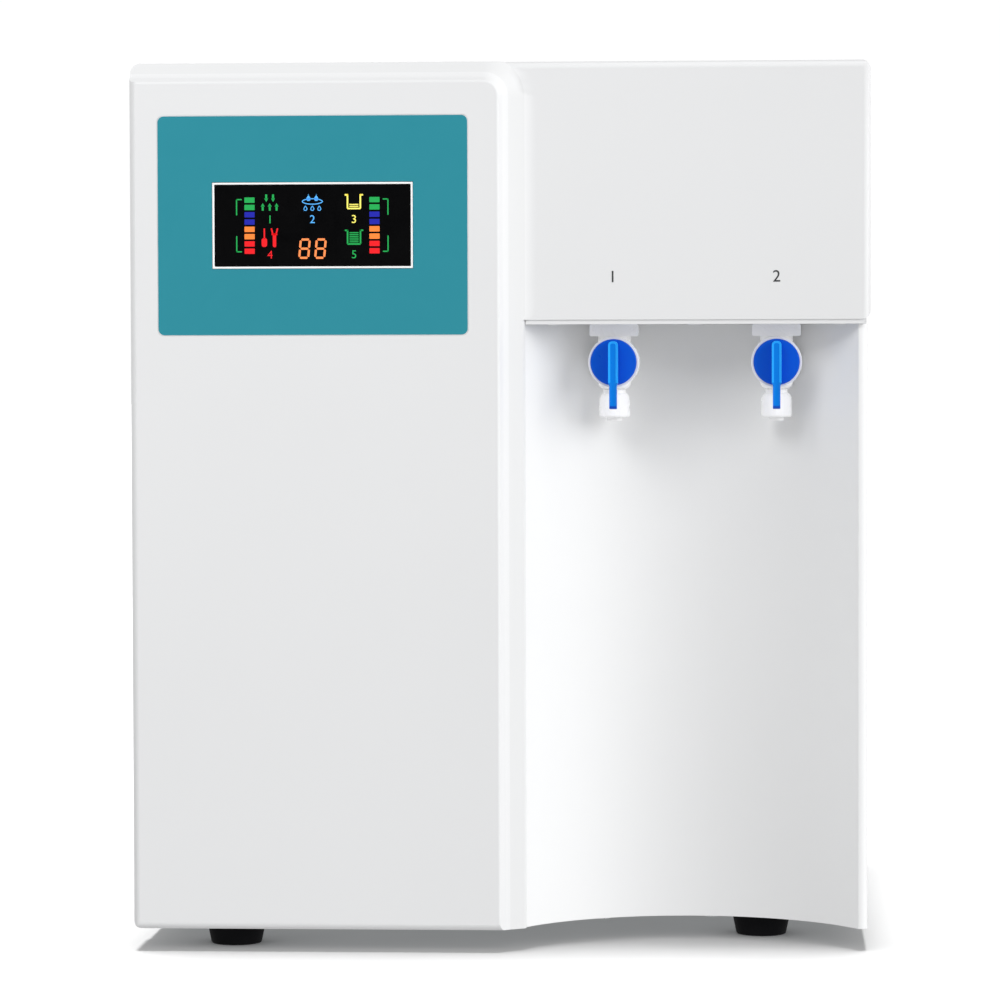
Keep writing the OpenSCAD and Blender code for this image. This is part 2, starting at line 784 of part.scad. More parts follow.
module board_spacers() color("ivory") {
    board_posts(display_x, display_z, display_board_w, display_board_h, shell, display_gap);
    board_posts(control_x0 + control_w / 2, control_z0 + control_h / 2, control_w, control_h,
        equip_d - control_post, equip_d);
}

// One tap: its body hangs from the shelf, with the plug turning in the boss
module tap_body(x) color(white) {
    difference() {
        union() {
            front_slab(tap_d - block_reach, boss_back)
                round_rect(x - block_w / 2, shelf_z - block_h, x + block_w / 2, shelf_z, 1);
            rod_z(x, tap_d, barrel_r, barrel_bottom, shelf_z - block_h + eps);
            rod_y(x, handle_z, bonnet_r, boss_front, boss_back);
            rod_z(x, tap_d, stem_r, shelf_z - eps, stem_top);
            rod_z(x, tap_d, spigot_r, barrel_bottom - spigot_len, barrel_bottom + eps);
        }
        rod_y(x, handle_z, plug_r + run_fit, boss_front - 1, plug_back + fit);
        rod_z(x, tap_d, water_r, barrel_bottom - spigot_len - 1, stem_top + 1);
        rod_z(x, tap_d, socket_r, stem_top - socket_len, stem_top + 1);
    }
}
module tap_plug(x) color("ivory") difference() {
    union() {
        rod_y(x, handle_z, plug_r, boss_front + run_fit, plug_back);
        rod_y(x, handle_z, plug_stem_r, handle_back, boss_front + eps);
        front_slab(handle_back - drive_len, handle_back + eps) mid_rect(x, handle_z, drive_w, drive_w);
    }
    rod_z(x, tap_d, water_r, handle_z - 2 * plug_r, handle_z + 2 * plug_r);
}
module tap_handle(x) {
    rib_top = handle_z + handle_r - rib_margin - rib_w / 2;
    tip_z = handle_z - lever_reach;
    neck_top = handle_z - handle_r + neck_drop;
    neck_low = neck_top - neck_drop - lever_w / 2;
    color(blue) difference() {
        rod_y(x, handle_z, handle_r, handle_front, handle_back);
        front_slab(handle_back - drive_len - fit, handle_back + 1)
            mid_rect(x, handle_z, drive_w + 2 * run_fit, drive_w + 2 * run_fit);
    }
    color(light_blue) front_slab(handle_front - rib_d, handle_front) {
        polygon([[x - rib_w / 2, rib_top], [x + rib_w / 2, rib_top],
            [x + rib_w / 2, neck_top], [x + lever_w / 2, neck_low],
            [x + lever_w / 2, tip_z], [x - lever_w / 2, tip_z],
            [x - lever_w / 2, neck_low], [x - rib_w / 2, neck_top]]);
        translate([x, rib_top]) circle(rib_w / 2);
    }
}
module tap_nozzle(x) color(white) {
    skirt_top = nozzle_h - nozzle_neck_h;
    neck_r = spigot_r + run_fit + nozzle_wall;
    translate([x, y_front + tap_d, nozzle_bottom]) rotate_extrude()
        polygon([[water_r, 0], [nozzle_r - nozzle_round, 0], [nozzle_r, nozzle_round],
            [nozzle_r, skirt_top - 2 * nozzle_round], [nozzle_r - nozzle_round, skirt_top - nozzle_round],
            [neck_r, skirt_top], [neck_r, nozzle_h], [spigot_r + run_fit, nozzle_h],
            [spigot_r + run_fit, nozzle_h - spigot_len - fit], [water_r, nozzle_h - spigot_len - fit]]);
}
module tap_bonnets() color(white)
    for (x = tap_xs) difference() {
        rod_y(x, handle_z, bonnet_r, bonnet_front, boss_front);
        rod_y(x, handle_z, plug_stem_r + run_fit, bonnet_front - 1, boss_front + 1);
        rod_y(x, handle_z, plug_stem_r + run_fit + seal_r, seal_d - seal_r, boss_front + 1);
    }
module tap_seals() color(dark)
    for (x = tap_xs) difference() {
        rod_y(x, handle_z, plug_stem_r + seal_r, seal_d - seal_r + run_fit, boss_front - run_fit);
        rod_y(x, handle_z, plug_stem_r + run_fit, bonnet_front, boss_front + 1);
    }
module tap_nuts() color(white)
    for (x = tap_xs) translate([x, y_front + tap_d, head_z]) difference() {
        cylinder(r = nut_hex_r, h = nut_t, $fn = 6);
        translate([0, 0, -1]) cylinder(r = stem_r + run_fit, h = nut_t + 2);
    }

// Power inlet with its switch above the socket and its fuse drawer below
module socket_outline() {
    side = socket_w / 2;
    top = socket_h / 2;
    cut = socket_chamfer;
    translate([inlet_x, inlet_z])
        polygon([[-side, -top], [side, -top], [side, top - cut], [side - cut, top], [cut - side, top],
            [-side, top - cut]]);
}
module power_inlet() color(dark) difference() {
    union() {
        front_slab(body_d, inlet_face)
            round_rect(inlet_x - inlet_w / 2 - inlet_rim, inlet_z - inlet_h / 2 - inlet_rim,
                inlet_x + inlet_w / 2 + inlet_rim, inlet_z + inlet_h / 2 + inlet_rim, inlet_rim);
        front_slab(body_d - inlet_len, body_d + eps) mid_rect(inlet_x, inlet_z, inlet_w, inlet_h);
    }
    front_slab(inlet_face - socket_deep, inlet_face + 1) socket_outline();
    front_slab(inlet_face - rocker_deep, inlet_face + 1)
        mid_rect(inlet_x, rocker_z, rocker_w + 2 * fit, 2 * (rocker_half + rocker_room));
    rod_x(rocker_d, rocker_z, rocker_pin_r + run_fit, inlet_x - rocker_w / 2 - rocker_pin_len - fit,
        inlet_x + rocker_w / 2 + rocker_pin_len + fit);
    front_slab(inlet_face - drawer_len - fit, inlet_face + 1)
        mid_rect(inlet_x, drawer_z, drawer_w + 2 * fit, drawer_h + 2 * fit);
}
module inlet_blades() color(brass) {
    blade_d = inlet_face - socket_deep;
    front_slab(blade_d, blade_d + blade_len) {
        mid_rect(inlet_x, inlet_z + blade_rise, blade_w, blade_h);
        mid_rect(inlet_x - blade_pitch, inlet_z - blade_rise, blade_w, blade_h);
        mid_rect(inlet_x + blade_pitch, inlet_z - blade_rise, blade_w, blade_h);
    }
}
module power_rocker() color(dark)
    translate([inlet_x, y_front + rocker_d, rocker_z]) rotate([rocker_tilt, 0, 0]) {
        translate([-rocker_w / 2, 0, 0]) rotate([90, 0, 90]) linear_extrude(rocker_w) {
            circle(rocker_half);
            polygon([[0, -rocker_half], [rocker_rise, -rocker_half], [rocker_dip, 0],
                [rocker_rise, rocker_half], [0, rocker_half]]);
        }
        translate([-rocker_w / 2 - rocker_pin_len, 0, 0]) rotate([0, 90, 0])
            cylinder(r = rocker_pin_r, h = rocker_w + 2 * rocker_pin_len);
    }
module fuse_drawer() color(dark) {
    front_slab(inlet_face - drawer_len, inlet_face + eps) mid_rect(inlet_x, drawer_z, drawer_w, drawer_h);
    front_slab(inlet_face, inlet_face + drawer_rim_t)
        mid_rect(inlet_x, drawer_z, drawer_w + 2 * drawer_rim, drawer_h + 2 * drawer_rim);
}

// Push-in bulkhead port and its sliding collet
module push_port(x) color(dark) {
    collet_floor = collet_face - collet_len - collet_travel - fit;
    translate([x, y_front + port_hex_d, port_height]) rotate([-90, 0, 0]) difference() {
        cylinder(r = port_hex_r, h = port_hex_t, $fn = 6);
        translate([0, 0, -1]) cylinder(r = port_thread_r - eps, h = port_hex_t + 2);
    }
    difference() {
        union() {
            rod_y(x, port_height, port_thread_r, port_inner_d, port_barrel_d);
            rod_y(x, port_height, port_barrel_r, port_barrel_d, port_end_d);
        }
        rod_y(x, port_height, collet_r + run_fit, collet_floor, port_end_d + 1);
        rod_y(x, port_height, socket_r, collet_floor - socket_len, collet_floor + 1);
        rod_y(x, port_height, bore_r, port_inner_d - 1, port_end_d);
        rod_y(x, port_height, socket_r, port_inner_d - 1, port_inner_d + socket_len);
    }
}
module collet(x) color("dodgerblue") difference() {
    union() {
        rod_y(x, port_height, collet_r, collet_face - collet_len, collet_face + eps);
        rod_y(x, port_height, collet_rim_r, collet_face, collet_face + collet_rim_t);
    }
    rod_y(x, port_height, socket_r, collet_face - collet_len - 1, collet_face + collet_rim_t + 1);
}
module port_nuts() color(dark)
    for (x = port_xs)
        translate([x, y_front + rear_in - port_nut_t, port_height]) rotate([-90, 0, 0]) difference() {
            cylinder(r = port_hex_r, h = port_nut_t, $fn = 6);
            translate([0, 0, -1]) cylinder(r = port_thread_r + run_fit, h = port_nut_t + 2);
        }
module port_seals() color(dark)
    for (x = port_xs) difference() {
        rod_y(x, port_height, port_hex_r - seal_inset, body_d, port_hex_d);
        rod_y(x, port_height, port_thread_r + fit, body_d - 1, port_hex_d + 1);
    }

// Upright panel with its foot, and the screws that hold it to the base
equip_x = half_w - equip_side;
equip_screw_in = 20;
equip_spots = [for (s = [-1, 1]) [s * (equip_x - equip_screw_in), equip_back + equip_foot / 2]];
notch_w = 90;
notch_h = 60;
module equipment_panel() color(steel) difference() {
    union() {
        block(-equip_x, equip_x, equip_d, equip_back, base_top, equip_top);
        block(-equip_x, equip_x, equip_d, equip_back + equip_foot, base_top, base_top + sheet);
    }
    block(membrane_x - notch_w / 2, membrane_x + notch_w / 2, equip_d - 1, equip_back + equip_foot + 1,
        base_top + 2 * sheet, base_top + notch_h);
    for (p = equip_spots) rod_z(p[0], p[1], screw_hole_r, base_z, base_top + 2 * sheet);
}
module equipment_screws() color(steel)
    for (p = equip_spots) translate([p[0], y_front + p[1], base_top + sheet]) pan_screw(screw_len / 2);

// Upright cylinder with a stub and tube socket at each end
module cartridge(x, d, r, z0, length) difference() {
    union() {
        rod_z(x, d, r, z0, z0 + length);
        rod_z(x, d, stub_r, z0 - stub_len, z0 + length + stub_len);
    }
    for (z = [z0 - stub_len - 1, z0 + length + stub_len - socket_len])
        rod_z(x, d, socket_r, z, z + socket_len + 1);
}
module filter_cartridge(i) color(white) cartridge(filter_xs[i], filter_d, filter_r, works_z, filter_len);
module resin_column(i) color(clear_blue) cartridge(tap_xs[i], resin_d, resin_r, resin_z, resin_len);

// Membrane vessel: an open tube with a floor, a screw cap and the wound element inside
membrane_top = works_z + membrane_len;
module membrane_housing() color(white) difference() {
    union() {
        rod_z(membrane_x, membrane_d, membrane_r, works_z, membrane_top);
        for (s = [-1, 1])
            rod_z(membrane_x + s * cap_stub_gap, membrane_d, stub_r, works_z - stub_len, works_z + eps);
    }
    rod_z(membrane_x, membrane_d, membrane_r - membrane_wall, works_z + membrane_wall, membrane_top + 1);
    for (s = [-1, 1]) {
        rod_z(membrane_x + s * cap_stub_gap, membrane_d, socket_r, works_z - stub_len - 1,
            works_z - stub_len + socket_len);
        rod_z(membrane_x + s * cap_stub_gap, membrane_d, bore_r, works_z - stub_len,
            works_z + membrane_wall + 1);
    }
}
module membrane_cap() color(white) {
    cap_top = membrane_top + membrane_wall;
    difference() {
        union() {
            rod_z(membrane_x, membrane_d, membrane_r + cap_rim, membrane_top - cap_h, cap_top);
            rod_z(membrane_x, membrane_d, stub_r, membrane_top, cap_top + stub_len);
        }
        rod_z(membrane_x, membrane_d, membrane_r + run_fit, membrane_top - cap_h - 1, membrane_top);
        rod_z(membrane_x, membrane_d, bore_r, membrane_top - 1, cap_top + stub_len);
        rod_z(membrane_x, membrane_d, socket_r, cap_top + stub_len - socket_len, cap_top + stub_len + 1);
    }
}
module membrane_element() color(white) {
    floor_z = works_z + membrane_wall;
    lip_z = membrane_top - element_gap - 2 * lip_seal_h;
    rod_z(membrane_x, membrane_d, element_core_r, floor_z, membrane_top - fit);
    rod_z(membrane_x, membrane_d, element_r, floor_z + element_gap, membrane_top - element_gap);
    rod_z(membrane_x, membrane_d, membrane_r - membrane_wall - fit, lip_z, lip_z + lip_seal_h);
}
// Snap clip: a foot on the panel and an open ring round the cartridge
module clip_outline(x, d, r, side) {
    ring_r = r + clip_wall;
    translate([x, d]) scale([1, side]) difference() {
        union() {
            circle(ring_r);
            rect(-r / 2, -r - clip_stand, r / 2, 0);
        }
        circle(r + fit);
        rect(-ring_r, r / 3, ring_r, 2 * r);
    }
}
module clip_pair(x, d, r, side, z0, length) {
    for (z = [z0 + length / 5, z0 + length * 3 / 5])
        plan_slab(z, z + clip_h) clip_outline(x, d, r, side);
}
module cartridge_clips() color("gray") {
    for (x = filter_xs) clip_pair(x, filter_d, filter_r, 1, works_z, filter_len);
    clip_pair(membrane_x, membrane_d, membrane_r, 1, works_z, membrane_len);
    for (x = tap_xs) clip_pair(x, resin_d, resin_r, -1, resin_z, resin_len);
}

// Pump: motor can, square head with its chamber, and the shaft with its eccentric
module pump_motor() color(steel) difference() {
    rod_x(pump_d, pump_z, motor_r, motor_x0, pump_x0);
    rod_x(pump_d, pump_z, motor_r - motor_wall, motor_x0 + motor_end, pump_x0 + 1);
    rod_x(pump_d, pump_z, shaft_r + run_fit, motor_x0 + motor_end / 4, pump_x0 + 1);
}
module pump_head() color(dark) {
    stub_ds = [pump_d - pump_port_gap, pump_d + pump_port_gap];
    difference() {
        union() {
            side_slab(pump_x0, pump_x1) mid_rect(pump_d, pump_z, pump_side, pump_side);
            for (d = stub_ds) rod_x(d, pump_z, stub_r, pump_x1 - eps, pump_x1 + stub_len);
        }
        rod_x(pump_d, pump_z, chamber_r, pump_x0 - 1, pump_x0 + chamber_len);
        rod_x(pump_d, pump_z, shaft_r + run_fit, pump_x0, pump_x0 + chamber_len + bush_len);
        for (d = stub_ds) rod_x(d, pump_z, socket_r, pump_end_x, pump_x1 + stub_len + 1);
    }
}
module pump_rotor() color(steel) {
    armature_gap = 4;
    rod_x(pump_d, pump_z, shaft_r, motor_x0 + motor_end / 4 + fit, pump_x0 + chamber_len + bush_len - fit);
    rod_x(pump_d, pump_z, motor_r - motor_wall - armature_gap, motor_x0 + motor_end + armature_gap,
        pump_x0 - 2 * armature_gap);
    rod_x(pump_d, pump_z - eccentric_off, eccentric_r, pump_x0 + armature_gap,
        pump_x0 + chamber_len - armature_gap);
}
cradle_z = base_top + mount_h;
cradle_reach = 46;
cradle_x0 = pump_x0 - cradle_reach;
saddle_w = 20;
mount_inset = 10;
mount_r = 7;
module pump_cradle() color(steel) {
    block(cradle_x0, pump_x1, pump_d - pump_side / 2, pump_d + pump_side / 2, cradle_z, cradle_z + cradle_t);
    difference() {
        block(cradle_x0, cradle_x0 + saddle_w, pump_d - saddle_w, pump_d + saddle_w, cradle_z,
            pump_z - motor_r / 2);
        rod_x(pump_d, pump_z, motor_r + fit, cradle_x0 - 1, cradle_x0 + saddle_w + 1);
    }
}
module pump_mounts() color(dark)
    for (x = [cradle_x0 + mount_inset, pump_x1 - mount_inset], s = [-1, 1])
        rod_z(x, pump_d + s * (pump_side / 2 - mount_inset), mount_r, base_top, cradle_z);

module power_supply() color(steel) {
    ear = 8;
    block(supply_x0, supply_x0 + supply_w, equip_d - supply_t, equip_d, supply_z0, supply_z0 + supply_h);
    block(supply_x0 - ear, supply_x0 + supply_w + ear, equip_d - sheet, equip_d,
        supply_z0 + supply_h / 4, supply_z0 + supply_h * 3 / 4);
}
module control_board() color(board_green) {
    face = equip_d - control_post - board_t;
    x1 = control_x0 + control_w;
    low = control_z0 + relay_h;
    high = control_z0 + control_h / 2;
    front_slab(face, face + board_t) rect(control_x0, control_z0, x1, control_z0 + control_h);
    for (i = [0:relay_count - 1]) {
        x = control_x0 + relay_h + i * relay_pitch;
        block(x, x + relay_w, face - relay_h, face + eps, low, low + relay_h);
    }
    block(control_x0 + relay_w, control_x0 + 3 * relay_w, face - relay_w, face + eps,
        high, high + 2 * relay_h);
    block(x1 - 3 * relay_w, x1 - 2 * relay_w, face - board_t, face + eps, high, high + relay_w);
}
// Solenoid valve on a pedestal, with a coil on top and a stub front and rear
module solenoid_valve(x) {
    half = valve_w / 2;
    reach = half + valve_stub;
    top = port_height + valve_h / 2;
    difference() {
        union() {
            block(x - half, x + half, valve_d - half, valve_d + half, port_height - valve_h / 2, top);
            block(x - valve_w / 3, x + valve_w / 3, valve_d - half, valve_d + half, base_top, port_height);
            rod_z(x, valve_d, coil_r, port_height, top + coil_h);
            rod_y(x, port_height, stub_r, valve_d - reach, valve_d + reach);
        }
        for (d = [valve_d - reach - 1, valve_d + reach - socket_len])
            rod_y(x, port_height, socket_r, d, d + socket_len + 1);
    }
}
module inlet_valve() color("royalblue") solenoid_valve(feed_x);
module flush_valve() color("royalblue") solenoid_valve(drain_x);

// Water tube: straight lengths joined by quarter bends, from socket to socket
module tube_ring() difference() {
    circle(tube_r);
    circle(bore_r);
}
module tube_bend(p, u, v) {
    centre = p + bend_r * (v - u);
    w = cross(u, v);
    multmatrix([[-v[0], u[0], w[0], centre[0]], [-v[1], u[1], w[1], centre[1]],
        [-v[2], u[2], w[2], centre[2]], [0, 0, 0, 1]])
        rotate_extrude(angle = 90) translate([bend_r, 0]) tube_ring();
}
module tube_length(a, b) {
    run = b - a;
    translate(a) rotate([0, acos(run[2] / norm(run)), atan2(run[1], run[0])])
        linear_extrude(norm(run)) tube_ring();
}
module water_tube(route) translate([0, y_front, 0]) {
    last = len(route) - 1;
    ways = [for (i = [0:last - 1]) (route[i + 1] - route[i]) / norm(route[i + 1] - route[i])];
    for (i = [0:last - 1])
        tube_length(route[i] + (i > 0 ? bend_r : 0) * ways[i],
            route[i + 1] - (i < last - 1 ? bend_r : 0) * ways[i]);
    if (last > 1)
        for (i = [1:last - 1]) tube_bend(route[i], ways[i - 1], ways[i]);
}
// Ends of the tubes: the floors of the sockets that they are pushed into
socket_floor = stub_len - socket_len;
filter_low = works_z - socket_floor;
filter_high = works_z + filter_len + socket_floor;
resin_low = resin_z - socket_floor;
resin_high = resin_z + resin_len + socket_floor;
membrane_high = membrane_top + membrane_wall + socket_floor;
valve_reach = valve_w / 2 + valve_stub - socket_len;
port_floor_d = port_inner_d + socket_len;
pump_end_x = pump_x1 + socket_floor;
tap_tube_z = stem_top - socket_len;
turn_gap = 20;
feed_turn_d = filter_d + 2 * turn_gap;
pump_turn_x = pump_end_x + turn_gap;
column_turn_d = resin_d - resin_r - turn_gap;
tank_turn_d = valve_d - turn_gap;
module feed_tubes() color("white") {
    water_tube([[feed_x, port_floor_d, port_height], [feed_x, valve_d + valve_reach, port_height]]);
    water_tube([[feed_x, valve_d - valve_reach, port_height], [feed_x, feed_turn_d, port_height],
        [filter_xs[0], feed_turn_d, port_height], [filter_xs[0], filter_d, port_height],
        [filter_xs[0], filter_d, filter_low]]);
    water_tube([[filter_xs[0], filter_d, filter_high], [filter_xs[0], filter_d, tube_over_z],
        [filter_xs[1], filter_d, tube_over_z], [filter_xs[1], filter_d, filter_high]]);
    water_tube([[filter_xs[1], filter_d, filter_low], [filter_xs[1], filter_d, port_height],
        [filter_xs[2], filter_d, port_height], [filter_xs[2], filter_d, filter_low]]);
    water_tube([[filter_xs[2], filter_d, filter_high], [filter_xs[2], filter_d, tube_over_z],
        [filter_xs[2], pump_d - pump_port_gap, tube_over_z], [filter_xs[2], pump_d - pump_port_gap, pump_z],
        [pump_end_x, pump_d - pump_port_gap, pump_z]]);
}
module permeate_tubes() color("white") {
    water_tube([[pump_end_x, pump_d + pump_port_gap, pump_z], [pump_turn_x, pump_d + pump_port_gap, pump_z],
        [pump_turn_x, pump_d + pump_port_gap, tube_high_z], [pump_turn_x, membrane_d, tube_high_z],
        [membrane_x, membrane_d, tube_high_z], [membrane_x, membrane_d, membrane_high]]);
    water_tube([[membrane_x - cap_stub_gap, membrane_d, filter_low],
        [membrane_x - cap_stub_gap, membrane_d, tube_low_z], [membrane_x - cap_stub_gap, resin_d, tube_low_z],
        [tap_xs[1], resin_d, tube_low_z], [tap_xs[1], resin_d, resin_low]]);
    water_tube([[tap_xs[1], resin_d, resin_high], [tap_xs[1], resin_d, tube_over_z],
        [tap_xs[0], resin_d, tube_over_z], [tap_xs[0], resin_d, resin_high]]);
    water_tube([[tap_xs[0], resin_d, resin_low], [tap_xs[0], resin_d, tube_low_z],
        [tap_xs[0], column_turn_d, tube_low_z], [tap_xs[0], column_turn_d, tube_over_z],
        [tap_xs[0], tap_d, tube_over_z], [tap_xs[0], tap_d, tap_tube_z]]);
    water_tube([[tank_x, port_floor_d, port_height], [tank_x, tank_turn_d, port_height],
        [tank_x, tank_turn_d, tube_high_z], [tank_x, tap_d, tube_high_z], [tank_x, tap_d, tap_tube_z]]);
}
module drain_tubes() color("white") {
    water_tube([[drain_x, port_floor_d, port_height], [drain_x, valve_d + valve_reach, port_height]]);
    water_tube([[drain_x, valve_d - valve_reach, port_height], [drain_x, membrane_d, port_height],
        [drain_x, membrane_d, filter_low]]);
}

front_fascia();
recess_panel();
tap_shelf();
wrap_cover();
rear_panel();
base_plate();
rubber_feet();
foot_screws();
case_screws();
control_overlay();
display_bezel();
display_window();
display_board();
board_spacers();
tap_body(tap_xs[0]);  // left_tap_body
tap_plug(tap_xs[0]);  // left_tap_plug
tap_handle(tap_xs[0]);  // left_tap_handle
tap_nozzle(tap_xs[0]);  // left_tap_nozzle
tap_body(tap_xs[1]);  // right_tap_body
tap_plug(tap_xs[1]);  // right_tap_plug
tap_handle(tap_xs[1]);  // right_tap_handle
tap_nozzle(tap_xs[1]);  // right_tap_nozzle
tap_bonnets();
tap_nuts();
tap_seals();
power_inlet();
inlet_blades();
power_rocker();
fuse_drawer();
push_port(feed_x);  // feed_port
push_port(drain_x);  // drain_port
push_port(tank_x);  // tank_port
collet(feed_x);  // feed_collet
collet(drain_x);  // drain_collet
collet(tank_x);  // tank_collet
port_nuts();
port_seals();
equipment_panel();
equipment_screws();
filter_cartridge(0);  // sediment_filter
filter_cartridge(1);  // carbon_filter
filter_cartridge(2);  // polishing_filter
membrane_housing();
membrane_cap();
membrane_element();
resin_column(0);  // left_resin_column
resin_column(1);  // right_resin_column
cartridge_clips();
pump_motor();
pump_head();
pump_rotor();
pump_cradle();
pump_mounts();
power_supply();
control_board();
inlet_valve();
flush_valve();
feed_tubes();
permeate_tubes();
drain_tubes();
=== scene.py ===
import json
import math

import bpy
from mathutils import Matrix, Vector


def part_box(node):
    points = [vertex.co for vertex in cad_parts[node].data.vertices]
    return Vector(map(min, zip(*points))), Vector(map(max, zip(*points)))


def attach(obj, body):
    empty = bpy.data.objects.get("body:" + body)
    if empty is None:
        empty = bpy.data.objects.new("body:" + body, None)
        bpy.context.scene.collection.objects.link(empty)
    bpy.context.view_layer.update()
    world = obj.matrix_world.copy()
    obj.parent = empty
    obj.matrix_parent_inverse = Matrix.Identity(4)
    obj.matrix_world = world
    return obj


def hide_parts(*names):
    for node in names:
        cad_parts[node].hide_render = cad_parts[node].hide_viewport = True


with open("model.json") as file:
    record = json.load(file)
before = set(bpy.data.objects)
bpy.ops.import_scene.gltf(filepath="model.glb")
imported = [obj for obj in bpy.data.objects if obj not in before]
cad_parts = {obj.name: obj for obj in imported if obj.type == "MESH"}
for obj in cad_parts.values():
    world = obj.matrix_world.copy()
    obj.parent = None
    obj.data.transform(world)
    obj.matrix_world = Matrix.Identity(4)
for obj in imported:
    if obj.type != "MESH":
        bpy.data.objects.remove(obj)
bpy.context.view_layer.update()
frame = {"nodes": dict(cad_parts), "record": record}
nodes = frame["nodes"]
record = frame["record"]
bodyOf = {node: body for body, members in record["behaviour"]["bodies"].items() for node in members}
slotOf = {part["node"]: part["material_slot"] for part in record["subparts"]}
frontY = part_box("display_bezel")[0].y  # the raised face, where depth is counted from
print("frame loaded:", len(nodes), "nodes")

# how near counts as the same place, in mm
tight = 0.01
close = 0.02
near = 0.05
nearArc = 0.08
loose = 0.1
# how far the normal of a face points along an axis if the face looks that way, or is flat to it
facing = 0.9
flat = 0.99
trulyFlat = 0.995
# angles between faces: shaded smooth below the first, rounded above the second
smoothAngle = 35
sharpAngle = 40
plainWhite = (1, 1, 1, 1)
upright = (math.radians(90), 0, 0)
sides = ("left", "right")
perMetre = 1000.0


def mm(value):
    return value / perMetre


def place(x, depth, z):
    return Vector((mm(x), frontY + mm(depth), mm(z)))


def inMm(point):
    return point.x * perMetre, (point.y - frontY) * perMetre, point.z * perMetre


def middleOf(node):
    low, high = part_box(node)
    return inMm((low + high) / 2)


def startEdit():
    bpy.ops.object.mode_set(mode="EDIT")


def endEdit():
    bpy.ops.object.mode_set(mode="OBJECT")


def topOf(node):
    return inMm(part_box(node)[1])[2]


def clearSelection():
    bpy.ops.object.select_all(action="DESELECT")


def pick(*pieces):
    clearSelection()
    for piece in pieces:
        piece.select_set(True)
    bpy.context.view_layer.objects.active = pieces[0]


def applyAll():
    bpy.ops.object.transform_apply(location=True, rotation=True, scale=True)


def put(tree, kind, values=None, links=None, **settings):
    node = tree.nodes.new("ShaderNode" + kind)
    for name, value in settings.items():
        setattr(node, name, value)
    for name, value in (values or {}).items():
        node.inputs[name].default_value = value
    for name, source in (links or {}).items():
        tree.links.new(source, node.inputs[name])
    return node


# camera, placed by the photograph's viewing angle
cameraSetup = {"at": (0.1393, -2.4994, 0.3329), "yaw": 3.488, "pitch": 2.192, "roll": -0.155,
               "lens": 152.46, "sensor": 36.0, "clipNear": 0.05, "clipFar": 60.0}


def addCamera(setup):
    clearSelection()
    bpy.ops.object.camera_add(location=setup["at"])
    camera = bpy.context.object
    camera.name = "photo_camera"
    turn = Matrix.Rotation(math.radians(setup["yaw"]), 4, "Z")
    turn = turn @ Matrix.Rotation(math.radians(90 - setup["pitch"]), 4, "X")
    turn = turn @ Matrix.Rotation(math.radians(setup["roll"]), 4, "Z")
    camera.rotation_euler = turn.to_euler()
    camera.data.sensor_width = setup["sensor"]
    camera.data.lens = setup["lens"]
    camera.data.clip_start = setup["clipNear"]
    camera.data.clip_end = setup["clipFar"]
    bpy.context.scene.camera = camera


addCamera(cameraSetup)

# studio: a white surround that is dark behind the camera, soft lights, and a light for the floor alone
studio = {"horizon": 0.92, "zenith": 0.36, "backdrop": 1.02,
          "darkSide": 0.05, "darkFrom": 0.85, "darkTo": 0.97,
          "key": {"toward": (2.75, -1.5, 1.15), "spread": 45.0, "strength": 1.8, "mirrored": False},
          "side": {"toward": (1.0, -0.01, 0.1), "spread": 12.0, "strength": 0.14, "mirrored": True},
          "over": {"toward": (0.1, -0.01, 1.0), "spread": 12.0, "strength": 0.08, "mirrored": True},
          "fill": {"at": (-0.5, -1.35, 1.2), "aim": (-0.05, -0.2, 0.34), "size": 0.7, "strength": 7.15},
          "floor": {"toward": (-0.02, 0.05, 1.0), "spread": 18.0, "strength": 4.3, "mirrored": False}}


def addLamp(name, kind, at, away, strength, mirrored):
    clearSelection()
    bpy.ops.object.light_add(type=kind, location=at)
    lamp = bpy.context.object
    lamp.name = name
    lamp.data.energy = strength
    lamp.rotation_euler = Vector(away).to_track_quat("Z", "Y").to_euler()
    lamp.visible_glossy = mirrored
    return lamp


def addSun(name, setup):
    lamp = addLamp(name, "SUN", setup["toward"], setup["toward"], setup["strength"], setup["mirrored"])
    lamp.data.angle = math.radians(setup["spread"])
    return lamp


# a soft box above the left of the front, left out of reflections
def addSoftBox(name, setup):
    away = Vector(setup["at"]) - Vector(setup["aim"])
    lamp = addLamp(name, "AREA", setup["at"], away, setup["strength"], False)
    lamp.data.size = setup["size"]
    return lamp


def addSurround(setup):
    world = bpy.data.worlds.new("studio_surround")
    bpy.context.scene.world = world
    world.use_nodes = True
    tree = world.node_tree
    tree.nodes.clear()
    way = put(tree, "TexCoord").outputs["Generated"]
    split = put(tree, "SeparateXYZ", {}, {0: way}).outputs
    rise = put(tree, "MapRange", {"To Min": setup["horizon"], "To Max": setup["zenith"]},
               {"Value": split["Z"]}).outputs["Result"]
    darkening = {"From Min": -setup["darkFrom"], "From Max": -setup["darkTo"],
                 "To Min": 1.0, "To Max": setup["darkSide"]}
    rear = put(tree, "MapRange", darkening, {"Value": split["Y"]},
               interpolation_type="SMOOTHSTEP").outputs["Result"]
    level = put(tree, "Math", {}, {0: rise, 1: rear}, operation="MULTIPLY").outputs[0]
    light = put(tree, "Background", {"Color": plainWhite}, {"Strength": level}).outputs[0]
    seen = put(tree, "Background", {"Color": plainWhite, "Strength": setup["backdrop"]}).outputs[0]
    ray = put(tree, "LightPath").outputs["Is Camera Ray"]
    blend = put(tree, "MixShader", {}, {0: ray, 1: light, 2: seen}).outputs[0]
    put(tree, "OutputWorld", {}, {0: blend})


